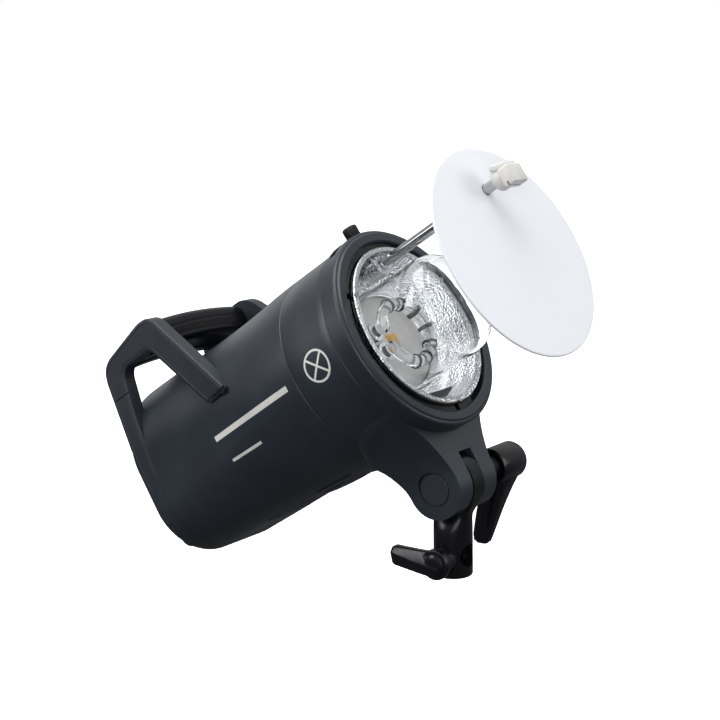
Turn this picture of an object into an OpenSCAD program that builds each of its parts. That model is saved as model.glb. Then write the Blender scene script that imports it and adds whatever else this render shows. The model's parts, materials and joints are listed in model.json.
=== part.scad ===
/* [Stance] */
// Upward tilt of the lamp head, in degrees
head_tilt = 32.5; // [20:0.5:40]
// Height of the tilt axle above the stand socket's mouth
pivot_h = 63; // [60:1:70]
// Distance from the lamp's centre line down to the tilt axle
pivot_drop = 102; // [100:1:110]
// Distance from the collar's front rim back to the tilt axle
pivot_back = 32.7; // [32:0.1:36]

/* [Lamp Head] */
// Outside diameter of the front collar
collar_d = 145; // [142:1:152]
// Inside diameter of the front collar
collar_bore_d = 126.2; // [124:0.2:128]
// Length of the collar behind its front rim
collar_len = 13.9; // [12:0.1:16]
// Outside diameter of the front shell
shell_d = 141; // [139:0.5:142]
// Distance from the front rim back to the seam between shell and barrel
seam_back = 57; // [56:0.5:62]
// Width of the barrel across its square rear half
barrel_w = 126.6; // [122:0.2:130]
// Height of the barrel's crown above the lamp's centre line
crown_h = 64.5; // [62:0.5:66]
// Depth of the barrel's belly below the lamp's centre line
belly_h = 62.5; // [61:0.5:64]
// Distance from the front rim back to the waist of the barrel
waist_back = 155; // [145:1:165]
// Distance from the front rim back to the rear cover's seam
cover_back = 218; // [214:1:222]
// Overall length of the housing behind the front rim
head_len = 237; // [234:1:246]
// Wall thickness of the housing
wall = 3; // [2:0.5:4]

/* [Handle] */
// Thickness of each side plate
plate_t = 9.5; // [7:0.5:12]
// Inward lean of the side plates, in degrees
plate_lean = 5; // [3:0.5:6]
// Height of the side plates above the lamp's centre line
plate_top = 102; // [98:1:112]
// Depth of the hand grip, from its top to its underside
grip_h = 19; // [16:1:20]
// Rise of the grip in the middle
grip_arch = 3.5; // [1:0.5:5]

/* [Reflector And Glass] */
// Outside diameter of the bright reflector rim
rim_d = 116.6; // [112:0.2:118]
// Depth of the reflector's floor behind the front rim
floor_back = 21; // [18:0.5:24]
// Outside diameter of the protective glass dome
dome_d = 73; // [66:1:76]
// Distance the dome stands in front of the collar's rim
dome_out = 49.5; // [40:0.5:52]
// Mean diameter of the ring-shaped flash tube
flash_ring_d = 43; // [36:1:46]
// Diameter of the flash tube's glass
flash_glass_d = 8; // [6:0.5:9]

/* [Deflector] */
// Diameter of the frosted disc
disc_d = 146; // [120:1:150]
// Thickness of the frosted disc
disc_t = 1.8; // [1.5:0.1:3]
// Distance of the disc in front of the collar's rim
disc_out = 91; // [88:1:100]
// Height of the disc's centre above the lamp's centre line
disc_rise = 4.6; // [0:0.1:6]
// Diameter of the chromed rod
rod_d = 7; // [6:0.5:8]
// Height of the rod above the lamp's centre line
rod_rise = 47.5; // [46:0.5:49]
// Distance of the clip's grip in front of the disc
clip_off = 9; // [0:0.5:10]

/* [Fork And Bracket] */
// Width of the fork across both ears
fork_w = 44.4; // [42:0.2:48]
// Width of the slot between the ears
fork_slot = 14; // [12:0.5:16]
// Radius of the rounded end of each ear
ear_r = 20.5; // [19:0.5:22]
// Diameter of the tilt bolt
bolt_d = 10; // [8:1:12]
// Outside diameter of the stand bracket's column
column_d = 26.4; // [25:0.2:30]
// Diameter of the upright stand socket
socket_d = 16.4; // [16:0.1:17]
// Depth of the upright stand socket
socket_depth = 40.5; // [36:0.5:40.5]
// Diameter of the cross socket
cross_d = 15.9; // [15.9:0.1:16.2]
// Height of the cross socket above the base
cross_h = 15; // [13:0.5:17]
// Height of the lock screw above the base
lock_h = 12; // [10:0.5:14]

/* [Levers] */
// Diameter of the tilt lever's hub
hub_d = 26; // [22:0.5:28]
// Length of the tilt lever's hub
hub_len = 29; // [24:1:32]
// Length of the tilt lever's arm
lever_len = 58; // [50:1:60]
// Diameter of the stand lock screw
lock_d = 6; // [5:1:8]
// Length of the stand lock lever's paddle
paddle_len = 34; // [28:1:38]

/* [Controls] */
// Diameter of the rear dial
dial_d = 27; // [20:1:28]
// Diameter of each push button
button_d = 9; // [7:0.5:10]
// Travel of each push button
button_travel = 1.2; // [0.8:0.1:1.6]
// Width of the cooling fan
fan_w = 60; // [50:1:62]

/* [Fits] */
// Radial clearance of a shaft that turns or slides in its bore
run_gap = 0.05; // [0.03:0.01:0.09]
// Gap between curved faces of pieces that move past each other
move_gap = 0.4; // [0.3:0.05:0.5]
// Gap between fixed pieces seated in one another
seat_gap = 0.1; // [0.05:0.05:0.2]

/* [Hidden] */
$fn = 96;
// Facets of a rounded corner inside a hull
soft = 40;
// A cut runs this far past the face it opens
past = 0.5;
// Thickness of the flat stations that the housing is stretched over
slab_t = 0.6;

body_paint = [0.16, 0.18, 0.21];
deep_black = [0.06, 0.06, 0.07];
satin_black = [0.1, 0.1, 0.11];
bright = [0.85, 0.86, 0.88];
steel = [0.62, 0.63, 0.66];
clear = [0.86, 0.92, 0.95, 0.35];

collar_r = collar_d / 2;
collar_bore = collar_bore_d / 2;
shell_r = shell_d / 2;
rim_r = rim_d / 2;
dome_r = dome_d / 2;
rod_r = rod_d / 2;
bolt_r = bolt_d / 2;
column_r = column_d / 2;
half_fork = fork_w / 2;
half_slot = fork_slot / 2;
half_barrel = barrel_w / 2;
tongue_r = ear_r + 0.5;
slot_r = ear_r + 5;
washer_t = 0.7;
half_tongue = half_slot - washer_t - 0.1;
shoulder_h = pivot_h - ear_r - 0.6;
nut_r = 9;
hub_in = half_fork + 24.8;
hub_r = hub_d / 2;
tube_r = rod_r + 1.6;
tube_len = 74;
panel_z = -head_len;
panel_t = 2.5;
stem_u = -collar_len / 2 - 1.5;
// Angle of the release knob on the collar, its arc slot and the slot's start beside it
knob_at = 95;
knob_arc = 30;
knob_stop = 2.6;

// Carries the lamp frame (x across, y up from the centre line, z forward) to the tilted head
module lamp() {
    translate([0, 0, pivot_h])
    rotate([90 - head_tilt, 0, 0])
    translate([0, pivot_drop, pivot_back])
        children();
}

// Turns a shape drawn along z so that it lies along the tilt axle
module along_axle(from, len) {
    translate([from, 0, pivot_h])
    rotate([0, 90, 0])
    linear_extrude(len)
        children();
}

// A flat outline of the square-shouldered housing, drawn in x and y
module section(half, up, down, corner) {
    hull() {
        for (sx = [-1, 1]) {
            translate([sx * (half - corner), up - corner]) circle(corner, $fn = soft * 2);
            translate([sx * (half - corner), corner - down]) circle(corner, $fn = soft * 2);
        }
    }
}

module slab(z, inset, half, up, down, corner) {
    translate([0, 0, z])
    linear_extrude(slab_t)
        section(half - inset, up - inset, down - inset, corner - inset);
}

// The front half of the barrel, tapering from round to square-shouldered
module taper(inset, overrun) {
    hull() {
        translate([0, 0, overrun - seam_back - slab_t]) cylinder(r = shell_r - inset, h = slab_t, $fn = soft * 2);
        slab(-seam_back - 34, inset, shell_r - 1.3, shell_r - 1.3, shell_r - 1.3, shell_r - 1.4);
        slab(-waist_back, inset, half_barrel + 0.2, crown_h + 0.5, belly_h + 1, 50);
    }
}

// The rear half of the barrel
module trunk(inset, back) {
    hull() {
        slab(-waist_back, inset, half_barrel + 0.2, crown_h + 0.5, belly_h + 1, 50);
        slab(-back, inset, half_barrel, crown_h, belly_h, 44);
    }
}

// The rounded tail that closes the housing
module tail(inset) {
    hull() {
        slab(-cover_back - slab_t, inset, half_barrel, crown_h, belly_h, 44);
        slab(-cover_back - 9, inset, half_barrel, crown_h - 1.5, belly_h, 43);
        slab(-head_len + 5 + inset / 2, inset, half_barrel - 1.2, crown_h - 8, belly_h - 1, 41);
        slab(-head_len + inset, inset, half_barrel - 5, crown_h - 15, belly_h - 5, 38);
    }
}

// A hexagon of the given width across its flats
module hex(flats) {
    circle(flats / 2 / cos(30), $fn = 6);
}

// A pan-head screw with a cross recess, head upward and face at z = 0
module screw(head_r, shank_r, len) {
    difference() {
        union() {
            translate([0, 0, -head_r * 0.6]) cylinder(r = head_r, h = head_r * 0.6, $fn = 32);
            translate([0, 0, -len]) cylinder(r = shank_r, h = len - head_r * 0.3, $fn = 24);
        }
        for (a = [0, 90])
            rotate([0, 0, a])
            translate([-head_r * 0.6, -head_r * 0.13, -head_r * 0.35])
                cube([head_r * 1.2, head_r * 0.26, head_r]);
    }
}

// The neck seen from the front: straight ears that flare out to the shell
module neck_front() {
    flare = 46;
    base = 8 - pivot_drop;
    difference() {
        polygon([[-half_fork - 20, base + 38], [-half_fork, base - 40], [half_fork, base - 40],
            [half_fork + 20, base + 38]]);
        for (sx = [-1, 1])
            translate([sx * (half_fork + flare), base - 6]) circle(flare, $fn = 180);
    }
    translate([-half_fork, base - 40]) square([fork_w, 60]);
}

// The neck seen from the side, in y and z: a round end with a flaring back
module neck_side() {
    rear = 42;
    translate([-pivot_drop, -pivot_back]) circle(ear_r);
    difference() {
        translate([-pivot_drop, -pivot_back - ear_r - 9]) square([44, 2 * ear_r + 9]);
        translate([8 - pivot_drop, -pivot_back - ear_r - rear]) circle(rear, $fn = 180);
        translate([-pivot_drop - past, -pivot_back - ear_r - 9 - past]) square([8 + past, 9 + past]);
    }
}

module neck() {
    root = half_fork + 22;
    intersection() {
        translate([0, -pivot_drop - 40, 0])
        rotate([-90, 0, 0])
        linear_extrude(110)
        hull() {
            for (sx = [-1, 1])
                translate([sx * (root - 27), pivot_back + ear_r + 13 - 27]) circle(27, $fn = 96);
            translate([-root, pivot_back - ear_r]) square([2 * root, 1]);
        }
        translate([0, 0, -pivot_back - 60]) linear_extrude(120) neck_front();
        translate([half_fork + 25, 0, 0])
        rotate([0, -90, 0])
        linear_extrude(fork_w + 50)
            mirror([1, -1]) neck_side();
    }
}

module lamp_axle(from, len, r, faces) {
    translate([from, -pivot_drop, -pivot_back])
    rotate([0, 90, 0])
        cylinder(r = r, h = len, $fn = faces);
}

module front_shell() {
    color(body_paint)
    lamp()
    difference() {
        union() {
            rotate_extrude($fn = 180)
                polygon([[shell_r - wall, -seam_back], [shell_r, -seam_back], [shell_r + 0.4, -collar_len - 1.5],
                    [shell_r - 0.6, -collar_len], [shell_r - wall, -collar_len]]);
            difference() {
                neck();
                translate([0, 0, -seam_back - 1]) cylinder(r = shell_r - wall, h = seam_back + 60, $fn = 180);
                translate([0, 0, -collar_len]) cylinder(r = collar_r + 10, h = 80);
                translate([0, 0, -seam_back - 40]) cylinder(r = shell_r + 0.1, h = 40, $fn = 180);
                taper(-seat_gap, 0);
            }
        }
        lamp_axle(-half_slot, fork_slot, slot_r, 120);
        translate([-half_slot, -pivot_drop - slot_r, -pivot_back - slot_r])
            cube([fork_slot, slot_r, 2 * slot_r]);
        lamp_axle(-half_fork - past, fork_w + 1, bolt_r + seat_gap, 64);
        lamp_axle(-half_fork - past, 3 + past, 11 + seat_gap, 96);
        lamp_axle(-half_fork - past, 9.5 + past, 10.2, 64);
        lamp_axle(half_fork, 6, nut_r + 0.6, 96);
    }
}

module collar() {
    nose = 2.2;
    color(body_paint)
    lamp()
    difference() {
        rotate_extrude($fn = 180) {
            polygon([[collar_bore, -collar_len], [collar_r - 0.1, -collar_len], [collar_r, -nose],
                [collar_r - nose, 0], [collar_r - nose - 1.2, 1.1], [collar_bore + 1, 1.1], [collar_bore, 0.3]]);
            translate([collar_r - nose, -nose]) circle(nose, $fn = 48);
        }
        rotate([0, 0, knob_at - knob_stop])
        rotate_extrude(angle = knob_arc, $fn = 180)
            translate([collar_bore - 1, stem_u - 3]) square([14, 6]);
    }
}

module bayonet_ring() {
    color(deep_black)
    lamp()
    difference() {
        rotate_extrude($fn = 180)
            translate([rim_r + 0.5, -12]) square([collar_bore - rim_r - 0.6, 10.5]);
        for (a = [0:120:240])
            rotate([0, 0, a + 48])
            rotate_extrude(angle = 26, $fn = 120)
                translate([rim_r + 1.6, -8]) square([collar_bore - rim_r, 8]);
        for (a = [0:120:240])
            rotate([0, 0, a + 30])
            translate([rim_r, -2.2, -6]) cube([6, 4.4, 8]);
        rotate([0, 0, knob_at - knob_stop])
        rotate_extrude(angle = knob_arc, $fn = 180)
            translate([collar_bore - 3, -12.5]) square([5, stem_u + 15.5]);
    }
}

module lock_ring() {
    color(steel)
    lamp()
    difference() {
        rotate_extrude($fn = 180)
            translate([rim_r + 0.9, -18.4]) square([collar_bore - rim_r - 0.2, 3.8]);
        for (a = [0:120:240])
            rotate([0, 0, a + 52])
            rotate_extrude(angle = 20, $fn = 120)
                translate([rim_r - 1, -19]) square([3, 5]);
        rotate([0, 0, knob_at - 90])
        translate([-2 - seat_gap, collar_bore - 2.2 - seat_gap, -19]) cube([4 + 2 * seat_gap, 5, 6]);
    }
}

// The release knob rides in the collar's arc slot on a stem from the lock ring
module lock_knob() {
    color(deep_black)
    lamp()
    rotate([0, 0, knob_at - 90])
    difference() {
        union() {
            translate([-2, collar_bore - 2.2, stem_u - 2.4]) cube([4, collar_r - collar_bore + 4, 4.8]);
            translate([-2, collar_bore - 2.2, -18.4]) cube([4, 1.8, 10]);
            translate([0, collar_r + move_gap, stem_u])
            rotate([-90, 0, 0])
                cylinder(r = 5.4, h = 6.6, $fn = 48);
        }
        for (a = [0:30:330])
            translate([0, collar_r + 1.4, stem_u])
            rotate([-90, 0, 0])
            rotate([0, 0, a])
            translate([5.6, 0, 0])
                cylinder(r = 0.7, h = 8, $fn = 16);
    }
}

// A row of long slots through the belly of the barrel
module vents(from, len, count, pitch) {
    for (k = [0:count - 1])
        translate([(k - (count - 1) / 2) * pitch - 1.5, -half_barrel - 8, from])
            cube([3, 20, len]);
}

module barrel() {
    color(body_paint)
    lamp()
    difference() {
        union() {
            taper(0, 0);
            trunk(0, cover_back);
        }
        taper(wall, past);
        trunk(wall, cover_back + past);
        vents(-122, 34, 7, 8);
        vents(-172, 34, 7, 8);
    }
}

module rear_cover() {
    color(body_paint)
    lamp()
    difference() {
        tail(0);
        tail(wall);
        slab(-cover_back - slab_t / 2, wall, half_barrel, crown_h, belly_h, 44);
        translate([-42, -48, panel_z - 3]) cube([84, 76, 12]);
        for (sx = [-1, 1])
            for (sy = [-1, 1])
                translate([sx * 50, sy * 26 - 6, panel_z - 1]) cylinder(r = 1.6, h = 8, $fn = 32);
    }
}

// Outline of a side plate in z and y, its corners rounded
module plate_outline() {
    grip_low = plate_top - 21;
    offset(r = 3, $fn = 32)
    offset(delta = -3)
        polygon([[-138.5, 21.5], [-116.4, 23], [-159, plate_top - 5], [-166, plate_top],
            [-176, plate_top + 0.5], [-217.4, plate_top - 8], [-224.5, plate_top - 13],
            [-227, plate_top - 21], [-231, -26], [-216, -26], [-212.6, 37.6], [-212.2, 47.4],
            [-207.5, grip_low - 4.4], [-202.5, grip_low + 0.4], [-174, grip_low]]);
}

module side_plate(sx) {
    color(body_paint)
    lamp()
    difference() {
        intersection() {
            translate([sx * half_barrel, 28, 0])
            rotate([0, 0, sx * plate_lean])
            translate([sx > 0 ? 0.4 : -0.4 + plate_t, -28, 0])
            rotate([0, -90, 0])
            linear_extrude(plate_t)
                plate_outline();
            translate([-half_barrel - 0.8, -40, -head_len]) cube([barrel_w + 1.6, 160, head_len]);
        }
        taper(0, 0);
        trunk(0, cover_back);
        tail(0);
    }
}

module handle_plate_left() {
    side_plate(-1);
}

module handle_plate_right() {
    side_plate(1);
}

// Distance from the middle to a side plate's inner face, at height y
function plate_inside(y) = half_barrel - (plate_t - 0.4) / cos(plate_lean) - tan(plate_lean) * (y - 28);

// Where each of the four grip screws enters the grip's underside, in x
grip_screw_at = plate_inside(plate_top - grip_h) - 6;

module grip_bar() {
    half = plate_inside(plate_top);
    bow = (half * half + grip_arch * grip_arch) / 2 / grip_arch;
    low = plate_top - grip_h;
    high = plate_top + grip_arch;
    color(satin_black)
    lamp()
    difference() {
        intersection() {
            translate([-barrel_w / 2, 0, 0])
            rotate([90, 0, 90])
            linear_extrude(barrel_w)
            hull() {
                translate([low + 7, -179]) circle(7, $fn = soft);
                translate([low + 6, -206]) circle(6, $fn = soft);
                translate([high - 7.5, -177]) circle(7.5, $fn = soft);
                translate([high - 13, -208]) circle(6.5, $fn = soft);
            }
            translate([0, high - bow, -230]) cylinder(r = bow, h = 90, $fn = 360);
            translate([0, 0, -230])
            linear_extrude(90)
            polygon([for (e = [[1, low - 5], [1, high + 5], [-1, high + 5], [-1, low - 5]])
                [e[0] * (plate_inside(e[1]) - seat_gap), e[1]]]);
        }
        for (sx = [-1, 1])
            for (back = [-182, -203])
                translate([sx * grip_screw_at, low - 1, back])
                rotate([-90, 0, 0]) {
                    cylinder(r = 2.7, h = 2.6, $fn = 32);
                    cylinder(r = 1.4, h = 9.6, $fn = 24);
                }
    }
}

// Four screws hold the grip from below, their heads sunk in its underside
module grip_screws() {
    color(steel)
    lamp()
    for (sx = [-1, 1])
        for (back = [-182, -203])
            translate([sx * grip_screw_at, plate_top - grip_h - 0.05, back])
            rotate([90, 0, 0])
                screw(2.6, 1.3, 8);
}

module reflector() {
    skin = 1.4;
    floor_r = dome_r + 2.2;
    color(bright)
    lamp()
    difference() {
        union() {
            rotate_extrude($fn = 180)
                polygon([[floor_r - 1, -floor_back], [43, -floor_back], [47, -17], [51.5, -8], [54.5, 0],
                    [55, 2.4], [rim_r - 0.6, 2.4], [rim_r, 1.8], [rim_r, -0.6], [rim_r - 1.8, -0.6],
                    [53.4, -8], [48.8, -17.8], [43.8, -floor_back - skin], [floor_r - 1, -floor_back - skin]]);
            translate([0, rod_rise, -floor_back - skin]) cylinder(r = tube_r + 2.6, h = floor_back - 1);
        }
        translate([0, rod_rise, -floor_back - 5]) cylinder(r = tube_r + seat_gap, h = floor_back + 20, $fn = 64);
        translate([0, 0, -floor_back - 5]) cylinder(r = floor_r - 1, h = 40);
        for (a = [0:120:240])
            rotate([0, 0, a + 30])
            translate([rim_r - 1.7, 0, -3]) cylinder(r = 1.05, h = 8, $fn = 32);
        for (a = [0:120:240])
            rotate([0, 0, a + 42])
            translate([rim_r - 2.6, -2.5, 1.4]) cube([1.2, 5, 3]);
    }
}

module rim_screws() {
    color(steel)
    lamp()
    for (a = [0:120:240])
        rotate([0, 0, a + 30])
        translate([rim_r - 1.7, 0, 3.6])
            screw(1.9, 1, 5);
}

module umbrella_tube() {
    color(steel)
    lamp()
    translate([0, rod_rise, -3 - tube_len])
    difference() {
        cylinder(r = tube_r, h = tube_len, $fn = 64);
        translate([0, 0, -past]) cylinder(r = rod_r + run_gap, h = tube_len + 1, $fn = 64);
    }
}

// A felt bush in the bulkhead that grips the tube's tail
module tube_bush() {
    color(deep_black)
    lamp()
    translate([0, rod_rise, -66])
    difference() {
        cylinder(r = tube_r + 2.4, h = 3.9, $fn = 64);
        translate([0, 0, -past]) cylinder(r = tube_r, h = 6, $fn = 64);
    }
}

module dome_outline(inset) {
    rise = 24.5 - inset;
    wide = dome_r - inset;
    start = dome_out - 24.5;
    polygon(concat([[0, -floor_back + 0.2], [wide, -floor_back + 0.2]],
        [for (a = [0:5:90]) [wide * pow(cos(a), 0.9), start + rise * pow(sin(a), 0.9)]]));
}

module glass_dome() {
    glass = 2.2;
    color(clear)
    lamp()
    rotate_extrude($fn = 120)
    difference() {
        union() {
            dome_outline(0);
            translate([0, -floor_back - 3.4]) square([dome_r + 1, 3.2]);
            translate([0, -floor_back - 1]) square([dome_r, 2]);
        }
        dome_outline(glass);
        translate([-1, -floor_back - 5]) square([dome_r - glass + 1, 6]);
    }
}

module flash_tube() {
    ring = flash_ring_d / 2;
    glass = flash_glass_d / 2;
    gap = 40;
    color(clear)
    lamp()
    rotate([0, 0, 180 + gap / 2])
    union() {
        translate([0, 0, -10])
        rotate_extrude(angle = 360 - gap, $fn = 120)
            translate([ring, 0]) circle(glass, $fn = 40);
        for (a = [0, 360 - gap])
            rotate([0, 0, a])
            translate([ring, 0, 0]) {
                translate([0, 0, -10]) sphere(glass * 1.08, $fn = 40);
                translate([0, 0, -22]) cylinder(r = glass * 0.94, h = 12, $fn = 40);
            }
    }
}

// Dark wire wraps that trigger the flash, clipped around the ring
module trigger_bands() {
    ring = flash_ring_d / 2;
    glass = flash_glass_d / 2;
    color(deep_black)
    lamp()
    for (a = [-105, -70, -35, 0, 35, 70, 105])
        rotate([0, 0, a])
        translate([ring, 1, -10])
        rotate([90, 0, 0])
        difference() {
            cylinder(r = glass + 0.9, h = 2, $fn = 32);
            translate([0, 0, -past]) cylinder(r = glass + 0.35, h = 4, $fn = 32);
        }
}

module tube_sockets() {
    ring = flash_ring_d / 2;
    color(steel)
    lamp()
    for (a = [-20, 20])
        rotate([0, 0, 180 + a])
        translate([ring, 0, -24.4])
        difference() {
            cylinder(r = 6.4, h = 7.4, $fn = 32);
            translate([0, 0, 2.2]) cylinder(r = flash_glass_d / 2 + seat_gap, h = 8, $fn = 40);
        }
}

// The pale moulded base that carries the flash tube and the dome
module lamp_base() {
    color([0.86, 0.85, 0.82])
    lamp()
    difference() {
        union() {
            translate([0, 0, -floor_back - 9]) cylinder(r = 46, h = 5.4);
            translate([0, 0, -floor_back - 4]) cylinder(r = dome_r - 2.5, h = 2);
        }
        for (a = [-20, 20])
            rotate([0, 0, 180 + a])
            translate([flash_ring_d / 2, 0, -24.5]) cylinder(r = 6.5, h = 9, $fn = 32);
        translate([0, rod_rise, -floor_back - 12]) cylinder(r = tube_r + seat_gap, h = 20, $fn = 64);
        translate([-5.1, -5.1, -floor_back - 3.6]) cube([10.2, 10.2, 5]);
    }
}

module model_light() {
    color([0.93, 0.7, 0.3])
    lamp()
    translate([-5, -5, -floor_back - 3.6])
    union() {
        cube([10, 10, 2.6]);
        translate([5, 5, 2.6]) cylinder(r = 4, h = 0.8, $fn = 48);
    }
}

module bulkhead() {
    color(steel)
    lamp()
    difference() {
        translate([0, 0, -66]) cylinder(r = shell_r - wall - 1.6, h = 4, $fn = 180);
        translate([0, rod_rise, -67]) cylinder(r = tube_r + 2.4, h = 6, $fn = 64);
        translate([0, 0, -67]) cylinder(r = fan_w / 2 - 2, h = 6);
        for (a = [15:60:315])
            rotate([0, 0, a])
            translate([0, -56, -67]) cylinder(r = 6, h = 6, $fn = 48);
    }
}

module fan_frame() {
    half = fan_w / 2;
    color(deep_black)
    lamp()
    translate([0, 0, -81.2])
    difference() {
        union() {
            difference() {
                translate([-half, -half, 0]) cube([fan_w, fan_w, 15]);
                translate([0, 0, -past]) cylinder(r = half - 1.5, h = 16);
            }
            for (a = [0, 90])
                rotate([0, 0, a])
                translate([1 - half, -1.5, 0]) cube([fan_w - 2, 3, 2]);
            cylinder(r = 12, h = 2);
            cylinder(r = 2, h = 6, $fn = 32);
        }
        for (sx = [-1, 1])
            for (sy = [-1, 1])
                translate([sx * (half - 5), sy * (half - 5), -1]) cylinder(r = 2, h = 18, $fn = 32);
    }
}

module fan_rotor() {
    half = fan_w / 2;
    color(satin_black)
    lamp()
    translate([0, 0, -78.2])
    difference() {
        union() {
            cylinder(r = 12, h = 10);
            for (a = [0:360 / 7:359])
                rotate([0, 0, a])
                translate([10, 0, 5])
                rotate([38, 0, 0])
                translate([0, -0.9, -5.5]) cube([half - 13.2, 1.8, 11]);
        }
        translate([0, 0, -past]) cylinder(r = 2 + run_gap, h = 4, $fn = 32);
        translate([0, 0, -9.5]) cylinder(r = half, h = 8.9);
    }
}

module capacitor(x, y) {
    color([0.1, 0.16, 0.3])
    lamp()
    translate([x, y, -190])
    union() {
        cylinder(r = 17, h = 92, $fn = 64);
        for (sx = [-5, 5])
            translate([sx, 0, 91]) cylinder(r = 2.5, h = 5, $fn = 32);
    }
}

module capacitor_1() {
    capacitor(-18.5, -38);
}

module capacitor_2() {
    capacitor(18.5, -38);
}

module capacitor_3() {
    capacitor(-18.5, -2.5);
}

module capacitor_4() {
    capacitor(18.5, -2.5);
}

// The power board lies over the capacitors, carrying its coil, heat sink and relay
module power_board() {
    color([0.1, 0.32, 0.16])
    lamp()
    union() {
        translate([-44, 17, -205]) cube([88, 1.6, 110]);
        translate([-36, 18.5, -190]) cube([26, 24, 30]);
        for (k = [0:5])
            translate([4 + 6 * k, 18.5, -192]) cube([2, 26, 44]);
        translate([4, 18.5, -192]) cube([32, 3, 44]);
        translate([-30, 18.5, -140]) cube([18, 14, 28]);
        translate([14, 18.5, -134]) cylinder(r = 3, h = 20, $fn = 32);
        translate([22, 18.4, -115]) rotate([-90, 0, 0]) cylinder(r = 8, h = 18, $fn = 48);
    }
}

module control_board() {
    color([0.1, 0.32, 0.16])
    lamp()
    difference() {
        translate([-42, -16, panel_z + 8]) cube([84, 46, 1.6]);
        translate(concat(dial_spot, [panel_z + 5])) cylinder(r = 3.6, h = 8, $fn = 32);
        translate(concat(sync_spot, [panel_z + 5])) cylinder(r = 3.4, h = 8, $fn = 32);
    }
}

// Where each control sits on the rear panel, in x and y
function button_spot(k) = [(k % 2 == 0 ? -1 : 1) * 34, k < 2 ? 21 : 7];
dial_spot = [0, -4];
test_spot = [34, -9];
sync_spot = [-34, -8];
usb_spot = [-34, -20];
sensor_spot = [34, -21];
switch_spot = [22, -36];
inlet_spot = [-12, -37];

module rear_panel() {
    color(deep_black)
    lamp()
    difference() {
        translate([0, 0, panel_z - panel_t])
        linear_extrude(panel_t)
        difference() {
            offset(r = 8, $fn = 48) translate([-38, -44]) square([76, 66]);
            translate([-20, 15]) square([40, 14]);
        }
        for (k = [0:3])
            translate(concat(button_spot(k), [panel_z - 5]))
                cylinder(r = button_d / 2 + run_gap + 0.25, h = 10, $fn = 48);
        translate(concat(test_spot, [panel_z - 5])) cylinder(r = button_d / 2 + run_gap + 0.25, h = 10, $fn = 48);
        translate(concat(dial_spot, [panel_z - 5])) cylinder(r = 3 + move_gap, h = 10, $fn = 48);
        translate(concat(sync_spot, [panel_z - 5])) cylinder(r = 3.1, h = 10, $fn = 48);
        translate(concat(sensor_spot, [panel_z - 5])) cylinder(r = 4.1, h = 10, $fn = 48);
        translate([usb_spot[0] - 6.1, usb_spot[1] - 3.1, panel_z - 5]) cube([12.2, 6.2, 10]);
        translate([switch_spot[0] - 7.6, switch_spot[1] - 10.6, panel_z - 5]) cube([15.2, 21.2, 10]);
        translate([inlet_spot[0] - 14.1, inlet_spot[1] - 10.1, panel_z - 5]) cube([28.2, 20.2, 10]);
    }
}

module display_window() {
    color([0.12, 0.2, 0.28])
    lamp()
    translate([-19.9, 15.1, panel_z - panel_t + 0.3]) cube([39.8, 13.8, 2]);
}

module dial() {
    dial_r = dial_d / 2;
    color(satin_black)
    lamp()
    translate(concat(dial_spot, [panel_z - panel_t - 0.6]))
    mirror([0, 0, 1])
    difference() {
        union() {
            cylinder(r1 = dial_r, r2 = dial_r - 1, h = 10);
            translate([0, 0, -9]) cylinder(r = 3, h = 10, $fn = 48);
        }
        for (a = [0:15:345])
            rotate([0, 0, a])
            translate([dial_r + 0.2, 0, 1.5]) cylinder(r = 0.8, h = 10, $fn = 16);
        translate([0, 0, 9.2]) cylinder(r = dial_r - 4, h = 2);
    }
}

module push_button(spot) {
    color(satin_black)
    lamp()
    translate([spot[0], spot[1], panel_z - panel_t - 1.8])
    union() {
        cylinder(r = button_d / 2, h = 5.2, $fn = 48);
        translate([0, 0, 5]) cylinder(r = button_d / 2 + 1, h = 1, $fn = 48);
    }
}

module button_1() {
    push_button(button_spot(0));
}

module button_2() {
    push_button(button_spot(1));
}

module button_3() {
    push_button(button_spot(2));
}

module button_4() {
    push_button(button_spot(3));
}

module test_button() {
    push_button(test_spot);
}

// The rocker lies in its off position
module power_switch() {
    rock_r = 10.2;
    rest_angle = 6;
    color(satin_black)
    lamp()
    translate([switch_spot[0] - 7.2, switch_spot[1], panel_z + 2])
    rotate([-rest_angle, 0, 0])
    rotate([90, 0, 90])
    linear_extrude(14.4)
    intersection() {
        circle(rock_r);
        polygon([[-rock_r, -rock_r * 0.8], [rock_r, -rock_r * 0.8], [rock_r, 5], [-rock_r, 5]]);
        polygon([[-rock_r - 1, -rock_r * 0.8], [0, -rock_r * 0.62], [rock_r + 1, -rock_r * 0.8],
            [rock_r + 1, 8], [-rock_r - 1, 8]]);
    }
}

module power_inlet() {
    color(deep_black)
    lamp()
    translate([inlet_spot[0], inlet_spot[1], panel_z - panel_t - 0.8])
    difference() {
        translate([-14, -10, 0]) cube([28, 20, 26]);
        translate([0, 0, -past])
        linear_extrude(18.5)
            polygon([[-12.1, -8.2], [12.1, -8.2], [12.1, 5], [8.8, 8.2], [-8.8, 8.2], [-12.1, 5]]);
        for (x = [-7, 0, 7])
            translate([x - 2, x == 0 ? 0 : -4, 10]) cube([4, 2, 12]);
    }
}

module inlet_pins() {
    color(steel)
    lamp()
    translate([inlet_spot[0], inlet_spot[1], panel_z - panel_t - 0.8])
    for (x = [-7, 0, 7])
        translate([x - 2, x == 0 ? 0 : -4, 6]) cube([4, 2, 16]);
}

module sync_socket() {
    color(steel)
    lamp()
    translate(concat(sync_spot, [panel_z - panel_t - 0.7]))
    difference() {
        union() {
            cylinder(r = 3, h = 14, $fn = 48);
            cylinder(r = 4.4, h = 0.7, $fn = 48);
        }
        translate([0, 0, -past]) cylinder(r = 1.8, h = 12, $fn = 32);
    }
}

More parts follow.
